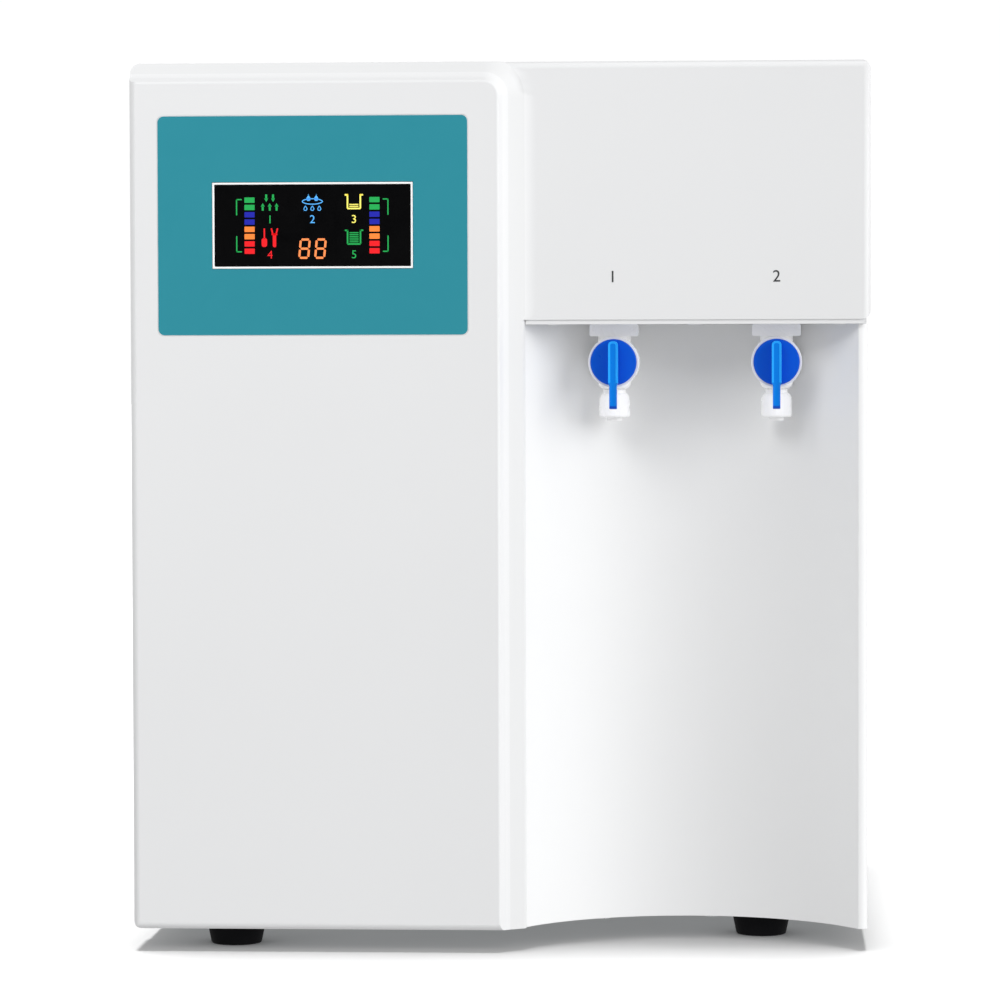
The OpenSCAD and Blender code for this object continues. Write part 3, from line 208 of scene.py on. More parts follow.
softLights = [addSun(name + "_light", studio[name]) for name in ("key", "side", "over")]
softLights.append(addSoftBox("fill_light", studio["fill"]))
floorLight = addSun("floor_light", studio["floor"])
addSurround(studio)
bpy.context.scene.view_settings.view_transform = "Standard"
bpy.context.scene.view_settings.look = "None"
print("camera and lights placed")

# shader groups, each placed in several finishes with its own values
valueKind = "NodeSocketFloat"
socketKinds = {3: "NodeSocketVector", 4: "NodeSocketColor"}
surfaceOutputs = [("Color", socketKinds[4]), ("Roughness", valueKind), ("Height", valueKind)]
surfaceInputs = {"Tone": (0.8, 0.8, 0.8, 1), "Shade": (0.7, 0.7, 0.7, 1), "Rough Low": 0.3, "Rough High": 0.4}


def startSurface(name, moreInputs):
    group = bpy.data.node_groups.new(name, "ShaderNodeTree")
    for label, value in {**surfaceInputs, **moreInputs}.items():
        kind = socketKinds[len(value)] if isinstance(value, tuple) else valueKind
        socket = group.interface.new_socket(label, in_out="INPUT", socket_type=kind)
        socket.default_value = value
    for label, kind in surfaceOutputs:
        group.interface.new_socket(label, in_out="OUTPUT", socket_type=kind)
    given = group.nodes.new("NodeGroupInput").outputs
    group.nodes.new("NodeGroupOutput")
    where = put(group, "TexCoord").outputs["Object"]
    return group, given, where


# a colour mix has its two colours in sockets 6 and 7 and its result in socket 2
def endSurface(group, tint, shine, height):
    given = group.nodes["Group Input"].outputs
    ends = group.nodes["Group Output"].inputs
    tone = put(group, "Mix", {}, {0: tint, 6: given["Tone"], 7: given["Shade"]}, data_type="RGBA")
    rough = put(group, "MapRange", {},
                {"Value": shine, "To Min": given["Rough Low"], "To Max": given["Rough High"]})
    group.links.new(tone.outputs[2], ends["Color"])
    group.links.new(rough.outputs["Result"], ends["Roughness"])
    group.links.new(height, ends["Height"])
    return group


# moulded plastic: a faint cloudy tone and a fine grain
def mouldedGrain():
    group, given, where = startSurface("moulded_grain", {"Cloud Scale": 9.0, "Grain Scale": 1400.0})
    cloud = put(group, "TexNoise", {"Detail": 3.0, "Roughness": 0.55},
                {"Vector": where, "Scale": given["Cloud Scale"]}).outputs["Fac"]
    grain = put(group, "TexNoise", {"Detail": 2.0, "Roughness": 0.5},
                {"Vector": where, "Scale": given["Grain Scale"]}).outputs["Fac"]
    return endSurface(group, cloud, grain, grain)


# powder coat: rounded cells of orange peel
def coatPeel():
    group, given, where = startSurface("coat_peel", {"Peel Scale": 700.0})
    cloud = put(group, "TexNoise", {"Scale": 6.0, "Detail": 3.0}, {"Vector": where}).outputs["Fac"]
    peel = put(group, "TexVoronoi", {}, {"Vector": where, "Scale": given["Peel Scale"]},
               feature="SMOOTH_F1").outputs["Distance"]
    return endSurface(group, cloud, peel, peel)


# drawn metal: fine lines along one way
def drawnLines():
    group, given, where = startSurface("drawn_lines", {"Stretch": (900.0, 900.0, 14.0)})
    along = put(group, "VectorMath", {}, {0: where, 1: given["Stretch"]}, operation="MULTIPLY")
    lines = put(group, "TexNoise", {"Scale": 1.0, "Detail": 3.0},
                {"Vector": along.outputs[0]}).outputs["Fac"]
    return endSurface(group, lines, lines, lines)


# zinc coat: crystal patches, each with its own tone
def zincPatches():
    group, given, where = startSurface("zinc_patches", {"Patch Scale": 90.0})
    cells = put(group, "TexVoronoi", {}, {"Vector": where, "Scale": given["Patch Scale"]})
    tone = put(group, "RGBToBW", {}, {"Color": cells.outputs["Color"]}).outputs["Val"]
    return endSurface(group, tone, tone, cells.outputs["Distance"])


# circuit board: tracks in two directions under the green mask
def boardTracks():
    trackFrom = 0.42
    group, given, where = startSurface("board_tracks", {"Track Scale": 120.0})
    cells = put(group, "TexVoronoi", {}, {"Vector": where, "Scale": given["Track Scale"]},
                distance="CHEBYCHEV", feature="F1").outputs["Distance"]
    tracks = put(group, "Math", {1: trackFrom}, {0: cells}, operation="GREATER_THAN").outputs[0]
    return endSurface(group, tracks, cells, tracks)


# resin beads packed behind a clear wall
def beadPack():
    group, given, where = startSurface("bead_pack", {"Bead Scale": 620.0})
    beads = put(group, "TexVoronoi", {},
                {"Vector": where, "Scale": given["Bead Scale"]}).outputs["Distance"]
    return endSurface(group, beads, beads, beads)


# handled gloss: faint smears that change the shine
def handledGloss():
    group, given, where = startSurface("handled_gloss", {"Smear Scale": 40.0})
    smear = put(group, "TexNoise", {"Detail": 5.0, "Roughness": 0.65, "Distortion": 1.2},
                {"Vector": where, "Scale": given["Smear Scale"]}).outputs["Fac"]
    return endSurface(group, smear, smear, smear)


surfaces = {"grain": mouldedGrain(), "peel": coatPeel(), "lines": drawnLines(), "zinc": zincPatches(),
            "board": boardTracks(), "beads": beadPack(), "gloss": handledGloss()}
bumpDistance = 0.001


def finishOf(name, surface, values, bump, **shader):
    material = bpy.data.materials.new(name)
    material.use_nodes = True
    tree = material.node_tree
    tree.nodes.clear()
    source = put(tree, "Group", node_tree=surfaces[surface])
    for label, value in values.items():
        source.inputs[label].default_value = value
    raised = put(tree, "Bump", {"Strength": bump, "Distance": bumpDistance},
                 {"Height": source.outputs["Height"]})
    body = put(tree, "BsdfPrincipled",
               {label.replace("_", " "): value for label, value in shader.items()},
               {"Base Color": source.outputs["Color"], "Roughness": source.outputs["Roughness"],
                "Normal": raised.outputs[0]})
    put(tree, "OutputMaterial", {}, {0: body.outputs[0]})
    material.diffuse_color = values["Tone"]
    return material


def tones(first, second, low, high, **more):
    values = {"Tone": (*first, 1), "Shade": (*second, 1), "Rough Low": low, "Rough High": high}
    for label, value in more.items():
        values[label.replace("_", " ")] = value
    return values


# finishes by slot: surface, its tones and roughness, the bump's strength, and what else the shader takes
metal = {"Metallic": 1.0}
slotLooks = {
    "white_moulding": ("grain", tones((0.785, 0.79, 0.797), (0.765, 0.77, 0.777), 0.3, 0.4), 0.015,
                       {"Coat_Weight": 0.15, "Coat_Roughness": 0.25}),
    "painted_sheet": ("peel", tones((0.79, 0.795, 0.80), (0.765, 0.77, 0.775), 0.36, 0.46), 0.03, {}),
    "zinc_sheet": ("zinc", tones((0.62, 0.64, 0.65), (0.50, 0.52, 0.53), 0.28, 0.42), 0.02, metal),
    "black_rubber": ("grain", tones((0.003, 0.003, 0.0035), (0.007, 0.007, 0.008), 0.62, 0.8,
                                    Cloud_Scale=60.0), 0.12, {"Specular_IOR_Level": 0.05}),
    "screw_steel": ("lines", tones((0.66, 0.67, 0.68), (0.52, 0.53, 0.54), 0.22, 0.36), 0.02, metal),
    "teal_film": ("gloss", tones((0.026, 0.252, 0.318), (0.029, 0.264, 0.330), 0.3, 0.4), 0.006,
                  {"Specular_IOR_Level": 0.25}),
    "dark_lens": ("gloss", tones((0.0008, 0.0008, 0.001), (0.0016, 0.0016, 0.002), 0.1, 0.2), 0.004,
                  {"Specular_IOR_Level": 0.3}),
    "circuit_board": ("board", tones((0.02, 0.16, 0.06), (0.05, 0.27, 0.10), 0.3, 0.45), 0.1, {}),
    "natural_plastic": ("grain", tones((0.78, 0.76, 0.69), (0.72, 0.70, 0.63), 0.4, 0.5), 0.03, {}),
    # the tap white glows faintly: painted light that lifts the taps out of the shade under the shelf
    "tap_white": ("gloss", tones((0.93, 0.93, 0.94), (0.90, 0.90, 0.91), 0.22, 0.32), 0.004,
                  {"Coat_Weight": 0.3, "Emission_Color": plainWhite, "Emission_Strength": 0.07}),
    "tap_blue": ("gloss", tones((0.001, 0.075, 0.56), (0.001, 0.062, 0.50), 0.2, 0.3), 0.004,
                 {"Coat_Weight": 0.3}),
    "black_plastic": ("grain", tones((0.012, 0.012, 0.014), (0.02, 0.02, 0.022), 0.38, 0.5,
                                     Grain_Scale=900.0), 0.08, {}),
    "blade_brass": ("lines", tones((0.78, 0.60, 0.28), (0.66, 0.49, 0.20), 0.2, 0.34), 0.02, metal),
    "collet_plastic": ("grain", tones((0.02, 0.14, 0.5), (0.016, 0.12, 0.44), 0.34, 0.44), 0.03, {}),
    "filter_white": ("grain", tones((0.76, 0.77, 0.78), (0.71, 0.72, 0.73), 0.36, 0.46), 0.02, {}),
    "resin_clear": ("beads", tones((0.62, 0.42, 0.16), (0.30, 0.16, 0.05), 0.16, 0.34), 0.2,
                    {"Coat_Weight": 0.6}),
    "clip_grey": ("grain", tones((0.30, 0.31, 0.32), (0.26, 0.27, 0.28), 0.42, 0.52), 0.04, {}),
    "motor_steel": ("lines", tones((0.52, 0.53, 0.54), (0.40, 0.41, 0.42), 0.26, 0.42,
                                   Stretch=(14.0, 900.0, 900.0)), 0.02, metal),
    "supply_aluminium": ("lines", tones((0.70, 0.71, 0.72), (0.60, 0.61, 0.62), 0.3, 0.44,
                                        Stretch=(16.0, 700.0, 700.0)), 0.02, metal),
    "valve_blue": ("grain", tones((0.06, 0.14, 0.42), (0.05, 0.12, 0.36), 0.4, 0.5), 0.04, {}),
    "tube_white": ("gloss", tones((0.80, 0.81, 0.82), (0.74, 0.75, 0.76), 0.34, 0.44), 0.01, {}),
}
finishes = {slot: finishOf(slot, surface, values, bump, **shader)
            for slot, (surface, values, bump, shader) in slotLooks.items()}
for node, slot in slotOf.items():
    nodes[node].data.materials.clear()
    nodes[node].data.materials.append(finishes[slot])
print("finishes made:", len(finishes))


# the soft lights leave the floor out, and the floor's own light reaches nothing else
def linkLights(floor):
    for lamps, state in ((softLights, "EXCLUDE"), ([floorLight], "INCLUDE")):
        group = bpy.data.collections.new("floor_" + state.lower())
        group.objects.link(floor)
        group.collection_objects[0].light_linking.link_state = state
        for lamp in lamps:
            lamp.light_linking.receiver_collection = group


# floor: white to the camera, greyer to the light that bounces off it
floorPatch = {"size": 30.0, "shift": 4.0, "bounce": 0.62, "lift": 0.03, "bump": 0.0, "shine": 0.0,
              "paper": tones((0.72, 0.72, 0.72), (0.71, 0.71, 0.71), 0.85, 0.95, Cloud_Scale=3.0)}


def addFloor(patch):
    clearSelection()
    bpy.ops.mesh.primitive_plane_add(size=patch["size"], location=(0, patch["shift"], 0))
    floor = bpy.context.object
    floor.name = "studio_floor"
    applyAll()
    paper = finishOf("studio_paper", "grain", patch["paper"], patch["bump"], Emission_Color=plainWhite,
                     Emission_Strength=patch["lift"], Specular_IOR_Level=patch["shine"])
    tree = paper.node_tree
    body = tree.nodes["Principled BSDF"].outputs[0]
    bounce = put(tree, "Emission", {"Strength": patch["bounce"]}).outputs[0]
    ray = put(tree, "LightPath").outputs["Is Camera Ray"]
    blend = put(tree, "MixShader", {}, {0: ray, 1: bounce, 2: body})
    tree.links.new(blend.outputs[0], tree.nodes["Material Output"].inputs[0])
    floor.data.materials.append(paper)
    linkLights(floor)


addFloor(floorPatch)


# editing: edges are tested by their two ends in mm, faces and corners by place
def editWith(piece, faceTest=None, edgeTest=None, vertTest=None):
    pick(piece)
    tests = (vertTest, edgeTest, faceTest)
    bpy.context.tool_settings.mesh_select_mode = tuple(test is not None for test in tests)
    startEdit()
    bpy.ops.mesh.select_all(action="DESELECT")
    endEdit()
    mesh = piece.data
    if faceTest:
        for face in mesh.polygons:
            face.select = faceTest(face.center, face.normal)
    if edgeTest:
        for edge in mesh.edges:
            first, second = [inMm(mesh.vertices[i].co) for i in edge.vertices]
            edge.select = edgeTest(first, second)
    if vertTest:
        for vert in mesh.vertices:
            vert.select = vertTest(vert.co)
    startEdit()


def editAll(piece):
    pick(piece)
    startEdit()
    bpy.ops.mesh.select_all(action="SELECT")


def bevelWhere(piece, edgeTest, width, steps):
    editWith(piece, edgeTest=edgeTest)
    bpy.ops.mesh.bevel(offset=mm(width), segments=steps, affect="EDGES")
    endEdit()


def moveWhere(piece, vertTest, move):
    editWith(piece, vertTest=vertTest)
    bpy.ops.transform.translate(value=move)
    endEdit()


def extrudeUp(rise):
    bpy.ops.mesh.extrude_region_move(TRANSFORM_OT_translate={"value": (0, 0, mm(rise))})


def modify(piece, kind, **settings):
    pick(piece)
    change = piece.modifiers.new("change", kind)
    for name, value in settings.items():
        setattr(change, name, value)
    bpy.ops.object.modifier_apply(modifier=change.name)


def settle(piece, name, angle=smoothAngle):
    piece.name = name
    piece.data.name = name
    pick(piece)
    applyAll()
    bpy.ops.object.shade_smooth_by_angle(angle=math.radians(angle))
    modify(piece, "WEIGHTED_NORMAL", keep_sharp=True)
    return piece


def joinAs(pieces, name):
    pick(*pieces)
    if len(pieces) > 1:
        bpy.ops.object.join()
    return settle(bpy.context.object, name)


def dress(piece, material):
    piece.data.materials.clear()
    piece.data.materials.append(material)
    return piece


# a node's copy with its doubles and flat neighbours merged, ready for its edges to be rounded
mergeReach = 1e-6
flatAngle = 0.2


def mergedCopy(node):
    piece = nodes[node].copy()
    piece.data = nodes[node].data.copy()
    piece.name = node + "_shaped"
    piece.parent = None
    for key in list(piece.keys()):
        del piece[key]
    bpy.context.scene.collection.objects.link(piece)
    pick(piece)
    bpy.ops.mesh.customdata_custom_splitnormals_clear()
    editAll(piece)
    bpy.ops.mesh.remove_doubles(threshold=mergeReach)
    bpy.ops.mesh.dissolve_limited(angle_limit=math.radians(flatAngle))
    endEdit()
    return piece


def roundEdges(piece, width, steps, angle=sharpAngle):
    modify(piece, "BEVEL", width=mm(width), segments=steps, limit_method="ANGLE",
           angle_limit=math.radians(angle))


def standFor(piece, node):
    bpy.context.view_layer.update()
    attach(piece, bodyOf[node])
    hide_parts(node)


def addOn(piece, node):
    bpy.context.view_layer.update()
    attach(piece, bodyOf[node])


def finishPiece(piece, node, material):
    settle(piece, node + "_shaped")
    dress(piece, material)
    standFor(piece, node)


def addRod(points, radius, length, middle, turn=(0, 0, 0)):
    clearSelection()
    bpy.ops.mesh.primitive_cylinder_add(vertices=points, radius=mm(radius), depth=mm(length),
                                        location=middle, rotation=turn)
    applyAll()
    return bpy.context.object


def addBlock(size, middle, turn=(0, 0, 0)):
    clearSelection()
    bpy.ops.mesh.primitive_cube_add(size=1, location=middle, rotation=turn)
    bpy.context.object.scale = [mm(length) for length in size]
    applyAll()
    return bpy.context.object


# casing and fittings: copies with the rounding that each one shows
portRounding = {"round": 0.4, "steps": 3, "angle": 28}
colletRounding = {"round": 0.3, "steps": 2}
roundings = {
    "wrap_cover": {"round": 0.3, "steps": 2},
    "rear_panel": {"round": 0.3, "steps": 2},
    "tap_bonnets": {"round": 0.5, "steps": 3},
    "rubber_feet": {"round": 0.8, "steps": 3},
    "power_inlet": {"round": 0.5, "steps": 3},
    "power_rocker": {"round": 0.4, "steps": 3},
    "fuse_drawer": {"round": 0.4, "steps": 3},
    "inlet_blades": {"round": 0.35, "steps": 2},
    "feed_port": portRounding, "drain_port": portRounding, "tank_port": portRounding,
    "feed_collet": colletRounding, "drain_collet": colletRounding, "tank_collet": colletRounding,
}
for node, look in roundings.items():
    piece = mergedCopy(node)
    roundEdges(piece, look["round"], look["steps"], look.get("angle", sharpAngle))
    finishPiece(piece, node, finishes[slotOf[node]])
print("rounded pieces:", len(roundings))

# display frame: a brighter white than the casing
bezelLook = {"round": 0.3, "steps": 3, "bump": 0.01, "coat": 0.2,
             "white": tones((0.97, 0.97, 0.97), (0.95, 0.95, 0.95), 0.3, 0.4)}


def addBezel(look):
    piece = mergedCopy("display_bezel")
    roundEdges(piece, look["round"], look["steps"])
    white = finishOf("bezel_white", "grain", look["white"], look["bump"], Coat_Weight=look["coat"])
    finishPiece(piece, "display_bezel", white)


addBezel(bezelLook)

# recess: its left edge closes up to the moulded front; its white is lighter than the casing's, painted light
# that lifts the whole recess
recessLook = {"round": 0.25, "steps": 2, "edgeWidth": 0.35, "close": 0.24, "bump": 0.015,
              "white": tones((0.855, 0.86, 0.865), (0.835, 0.84, 0.845), 0.32, 0.42)}


def addRecess(look):
    piece = mergedCopy("recess_panel")
    roundEdges(piece, look["round"], look["steps"])
    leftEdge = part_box("recess_panel")[0].x + mm(look["edgeWidth"])
    moveWhere(piece, lambda co: co.x < leftEdge, (-mm(look["close"]), 0, 0))
    finishPiece(piece, "recess_panel", finishOf("recess_lit_white", "grain", look["white"], look["bump"]))


addRecess(recessLook)

# shelf: its front edge comes up under the lip of the head
shelfLook = {"forward": 1.2, "round": 0.6, "steps": 3}


def addShelf(look):
    piece = mergedCopy("tap_shelf")
    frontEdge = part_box("tap_shelf")[0].y + mm(near)
    moveWhere(piece, lambda co: co.y < frontEdge, (0, -mm(look["forward"]), 0))
    roundEdges(piece, look["round"], look["steps"])
    finishPiece(piece, "tap_shelf", finishes["white_moulding"])


addShelf(shelfLook)
print("display frame, recess and shelf shaped")

# tap bodies: the lower end of the barrel is well rounded
tapBodyLook = {"barrelR": 9.0, "barrelGap": 0.2, "barrelRound": 3.8, "barrelSteps": 7}


def addTapBody(side, look):
    node = side + "_tap_body"
    x, depth, z = middleOf(side + "_tap_nozzle")
    endZ = topOf(side + "_tap_nozzle") + look["barrelGap"]
    piece = mergedCopy(node)

    def onRim(point):
        radius = math.hypot(point[0] - x, point[1] - depth)
        return abs(point[2] - endZ) < near and abs(radius - look["barrelR"]) < loose

    bevelWhere(piece, lambda a, b: onRim(a) and onRim(b), look["barrelRound"], look["barrelSteps"])
    finishPiece(piece, node, finishes["tap_white"])


for side in sides:
    addTapBody(side, tapBodyLook)
print("tap bodies shaped")

# control film: a white line runs round its edge
filmLook = {"round": 0.12, "steps": 2, "edgeLine": 0.15, "edgeReach": 3.0, "bump": 0.004,
            "white": tones((0.93, 0.935, 0.94), (0.91, 0.915, 0.92), 0.3, 0.4)}


def addFilm(look):
    low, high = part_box("control_overlay")
    piece = mergedCopy("control_overlay")
    dress(piece, finishes["teal_film"])
    piece.data.materials.append(finishOf("film_edge_white", "gloss", look["white"], look["bump"]))
    editWith(piece, faceTest=lambda centre, normal: normal.y < -facing)
    bpy.ops.mesh.inset(thickness=mm(look["edgeLine"]), use_even_offset=True)
    endEdit()
    for face in piece.data.polygons:
        corners = [piece.data.vertices[i].co for i in face.vertices]
        inward = max(min(co.x - low.x, high.x - co.x, co.z - low.z, high.z - co.z) for co in corners)
        face.material_index = 1 if inward < mm(look["edgeReach"]) else 0
    roundEdges(piece, look["round"], look["steps"])
    settle(piece, "control_overlay_shaped")
    standFor(piece, "control_overlay")


addFilm(filmLook)
print("control film made")

# front fascia: the raised panel's rim, the drop below it and the slope down to the head
fasciaLook = {"rim": 1.0, "rimSteps": 4, "foot": 3.6, "footSteps": 5, "alcoveEdge": 1.8, "alcoveSteps": 4,
              "cornerX": -8.0, "cornerZ": 463.2, "rimR": 8.0, "footR": 11.0, "footDepth": 5.0,
              "sweepR": 21.5, "sweepDepth": 12.0, "headZ": 342.6,
              "cutLow": 345.0, "cutR": 27.5, "smoothAngle": 52,
              "slopeFrom": 6.4, "slopeFlat": 0.97, "slopeSteep": 0.5, "bump": 0.015,
              # the slope's tones are a darker white, painted shade on the slope
              "slope": tones((0.74, 0.745, 0.75), (0.722, 0.727, 0.732), 0.34, 0.44)}


def fromCorner(point, look):
    return point[0] - look["cornerX"], point[2] - look["cornerZ"]


def onSweep(point, radius, look):
    across, up = fromCorner(point, look)
    if up <= 0:
        return abs(across - radius) < near
    if across <= 0:
        return abs(up - radius) < near
    return abs(math.hypot(across, up) - radius) < nearArc


# a test for edges that run round the panel at one depth
def roundPanel(depth, radius, look):
    return lambda a, b: all(abs(p[1] - depth) < close and onSweep(p, radius, look) for p in (a, b))


# the drop's corner is rebuilt as one row of faces, which can be rounded without folds
def rebuildCorner(piece, look, rimEdges, footEdges):
    def inCorner(point):
        return min(fromCorner(point, look)) > -near

    def cornerDrop(centre, normal):
        point = inMm(centre)
        across, up = fromCorner(point, look)
        between = look["rimR"] - loose < math.hypot(across, up) < look["footR"] + loose
        outward = across > 0 and up > 0 and normal.x * across + normal.z * up > 0
        return between and outward and 0 < point[1] < look["footDepth"]

    def cornerArcs(a, b):
        return inCorner(a) and inCorner(b) and (rimEdges(a, b) or footEdges(a, b))

    editWith(piece, faceTest=cornerDrop)
    bpy.ops.mesh.delete(type="FACE")
    endEdit()
    editWith(piece, edgeTest=cornerArcs)
    bpy.ops.mesh.bridge_edge_loops()
    endEdit()


# cuts round the slope's foot keep the rest of the head out of its shading
def cutHead(piece, look):
    def flatHead(centre, normal):
        return normal.y < -flat and abs(inMm(centre)[1] - look["sweepDepth"]) < near

    corner = place(look["cornerX"], 0, look["cornerZ"])
    cuts = [(place(0, 0, look["cutLow"]), Vector((0, 0, 1)))]
    points = [inMm(vert.co) for vert in piece.data.vertices]
    arc = [point for point in points if abs(point[1] - look["sweepDepth"]) < close
           and point[2] > look["cornerZ"] - near and onSweep(point, look["sweepR"], look)]
    for point in arc:
        across, up = fromCorner(point, look)
        outward = Vector((across, 0, up)).normalized()
        cuts.append((corner, Vector((-outward.z, 0, outward.x))))
        cuts.append((corner + outward * mm(look["cutR"]), outward))
    for point, normal in cuts:
        editWith(piece, faceTest=flatHead)
        bpy.ops.mesh.bisect(plane_co=point, plane_no=normal)
        endEdit()


# the slope takes a darker copy of the white: painted shade that stands in for less light on the slope
def shadeSlope(piece, look):
    piece.data.materials.append(finishOf("slope_painted_shade", "grain", look["slope"], look["bump"]))
    for face in piece.data.polygons:
        depth = inMm(face.center)[1]
        between = look["slopeFrom"] < depth < look["sweepDepth"] - near
        sloping = -look["slopeFlat"] < face.normal.y < -look["slopeSteep"]
        face.material_index = 1 if between and sloping else 0


def addFascia(look):
    piece = mergedCopy("front_fascia")
    rimEdges = roundPanel(0.0, look["rimR"], look)
    footEdges = roundPanel(look["footDepth"], look["footR"], look)
    sweepEdges = roundPanel(look["sweepDepth"], look["sweepR"], look)
    rebuildCorner(piece, look, rimEdges, footEdges)
    cutHead(piece, look)
    bevelWhere(piece, rimEdges, look["rim"], look["rimSteps"])
    bevelWhere(piece, footEdges, look["foot"], look["footSteps"])
    bevelWhere(piece, lambda a, b: sweepEdges(a, b) and max(a[2], b[2]) < look["headZ"] + loose,
               look["alcoveEdge"], look["alcoveSteps"])
    settle(piece, "front_fascia_shaped", look["smoothAngle"])
    dress(piece, finishes["white_moulding"])
    shadeSlope(piece, look)
    standFor(piece, "front_fascia")


addFascia(fasciaLook)
print("fascia shaped")

# tap handles: a blue disc, a rib that runs down into the lever, and a channel along its front; the rib is
# drawn in a lighter blue as painted light, and the channel floor and the tip in darker blues as painted shade
handleLook = {"discR": 12.6, "discFront": 21.0, "discBack": 24.7, "discRound": 0.9, "discSteps": 4,
              "discPoints": 96, "ribFront": 14.0, "ribW": 5.3, "ribBelowRim": 1.2, "topFlat": 0.4,
              "topSteps": 8, "leverW": 4.1, "neck": 11.2, "neckLen": 1.6,
              "tip": -25.4, "tipRound": 2.4, "tipSteps": 6, "shadedTip": 2.5,
              "ribRound": 0.3, "ribSteps": 3, "ribAngle": 50, "rim": 1.2, "channel": 0.6, "floorShare": 0.9,
              "bump": 0.004, "shine": 0.2,
              # blue is the handle's own colour; light is painted light on the rib, middle is painted shade in
              # the channel and also colours the lever
              "blue": tones((0.0004, 0.092, 0.62), (0.0004, 0.080, 0.56), 0.24, 0.34),
              "light": tones((0.016, 0.38, 1.0), (0.014, 0.35, 0.96), 0.24, 0.34),
              "middle": tones((0.0008, 0.20, 0.76), (0.0006, 0.18, 0.70), 0.24, 0.34)}
handleFinishes = {name: finishOf("handle_" + name, "gloss", handleLook[name], handleLook["bump"],
                                 Specular_IOR_Level=handleLook["shine"])
                  for name in ("blue", "light", "middle")}


def handleDisc(middleX, discZ, look):
    discDepth = look["discBack"] - look["discFront"]
    middle = place(middleX, look["discFront"] + discDepth / 2, discZ)
    disc = addRod(look["discPoints"], look["discR"], discDepth, middle, upright)
    frontRim = look["discFront"] + tight
    bevelWhere(disc, lambda a, b: max(a[1], b[1]) < frontRim, look["discRound"], look["discSteps"])
    return dress(disc, handleFinishes["blue"])


def handleRib(middleX, discZ, look):
    ribTop = discZ + look["discR"] - look["ribBelowRim"]
    neckZ = discZ - look["neck"]
    tipZ = discZ + look["tip"]
    ribDepth = look["discFront"] - look["ribFront"]
    ribMiddle = look["ribFront"] + ribDepth / 2
    rib = addBlock((look["ribW"], ribDepth, ribTop - neckZ), place(middleX, ribMiddle, (ribTop + neckZ) / 2))
    # the lower end is drawn in and extruded down as the lever
    editWith(rib, faceTest=lambda centre, normal: normal.z < -facing)
    extrudeUp(-look["neckLen"])
    bpy.ops.transform.resize(value=(look["leverW"] / look["ribW"], 1, 1),
                             center_override=place(middleX, ribMiddle, neckZ))
    extrudeUp(tipZ - neckZ + look["neckLen"])
    endEdit()
    # top end rounded in front view, lower end rounded off in side view
    bevelWhere(rib, lambda a, b: min(a[2], b[2]) > ribTop - tight and abs(a[0] - b[0]) < tight,
               look["ribW"] / 2 - look["topFlat"], look["topSteps"])
    frontLine = look["ribFront"] + tight
    bevelWhere(rib, lambda a, b: max(a[2], b[2]) < tipZ + tight and max(a[1], b[1]) < frontLine,
               look["tipRound"], look["tipSteps"])
    dress(rib, handleFinishes["light"])
    rib.data.materials.append(handleFinishes["middle"])
    rib.data.materials.append(handleFinishes["blue"])
    editWith(rib, faceTest=lambda centre, normal: normal.y < -trulyFlat)
    bpy.ops.mesh.inset(thickness=mm(look["rim"]))
    bpy.ops.transform.translate(value=(0, mm(look["channel"]), 0))
    endEdit()
    floorDepth = look["ribFront"] + look["channel"] * look["floorShare"]
    # faces coloured by place: the tip in plain blue as painted shade, the channel floor in middle blue as
    # painted shade, the lever in middle blue too, the rest of the rib in light blue as painted light
    for face in rib.data.polygons:
        x, depth, z = inMm(face.center)
        inChannel = face.normal.y < -flat and depth > floorDepth
        onLever = z < neckZ
        face.material_index = 2 if z - tipZ < look["shadedTip"] else 1 if onLever or inChannel else 0
    roundEdges(rib, look["ribRound"], look["ribSteps"], look["ribAngle"])
    return rib


def addHandle(side, look):
    node = side + "_tap_handle"
    middleX = middleOf(node)[0]
    discZ = topOf(node) - look["discR"]
    handle = joinAs([handleDisc(middleX, discZ, look), handleRib(middleX, discZ, look)], node + "_shaped")
    standFor(handle, node)


for side in sides:
    addHandle(side, handleLook)
print("tap handles made")

# tap nozzles: a domed shoulder on a short barrel, with the spout below and a bore from each end
nozzleLook = {"r": 8.4, "points": 72, "bodyBottom": 289.3, "domeFrom": 297.6, "domeRise": 5.0,
              "domeSteps": 7, "neckR": 6.2, "foot": 1.4, "footSteps": 5, "boreR": 5.0, "boreDepth": 9.2,
              "spoutR": 4.2, "spoutBoreR": 2.9, "spoutBore": 5.5}


def faceAtEnd(way, z):
    return lambda centre, normal: normal.z * way > facing and abs(inMm(centre)[2] - z) < close


def drawOut(piece, z, rise, ratio, middle):
    editWith(piece, faceTest=faceAtEnd(1, z))
    extrudeUp(rise)
    bpy.ops.transform.resize(value=(ratio, ratio, 1), center_override=middle)
    endEdit()


def drawIn(piece, way, z, wall, rise):
    editWith(piece, faceTest=faceAtEnd(way, z))
    bpy.ops.mesh.inset(thickness=mm(wall))
    extrudeUp(rise)
    endEdit()


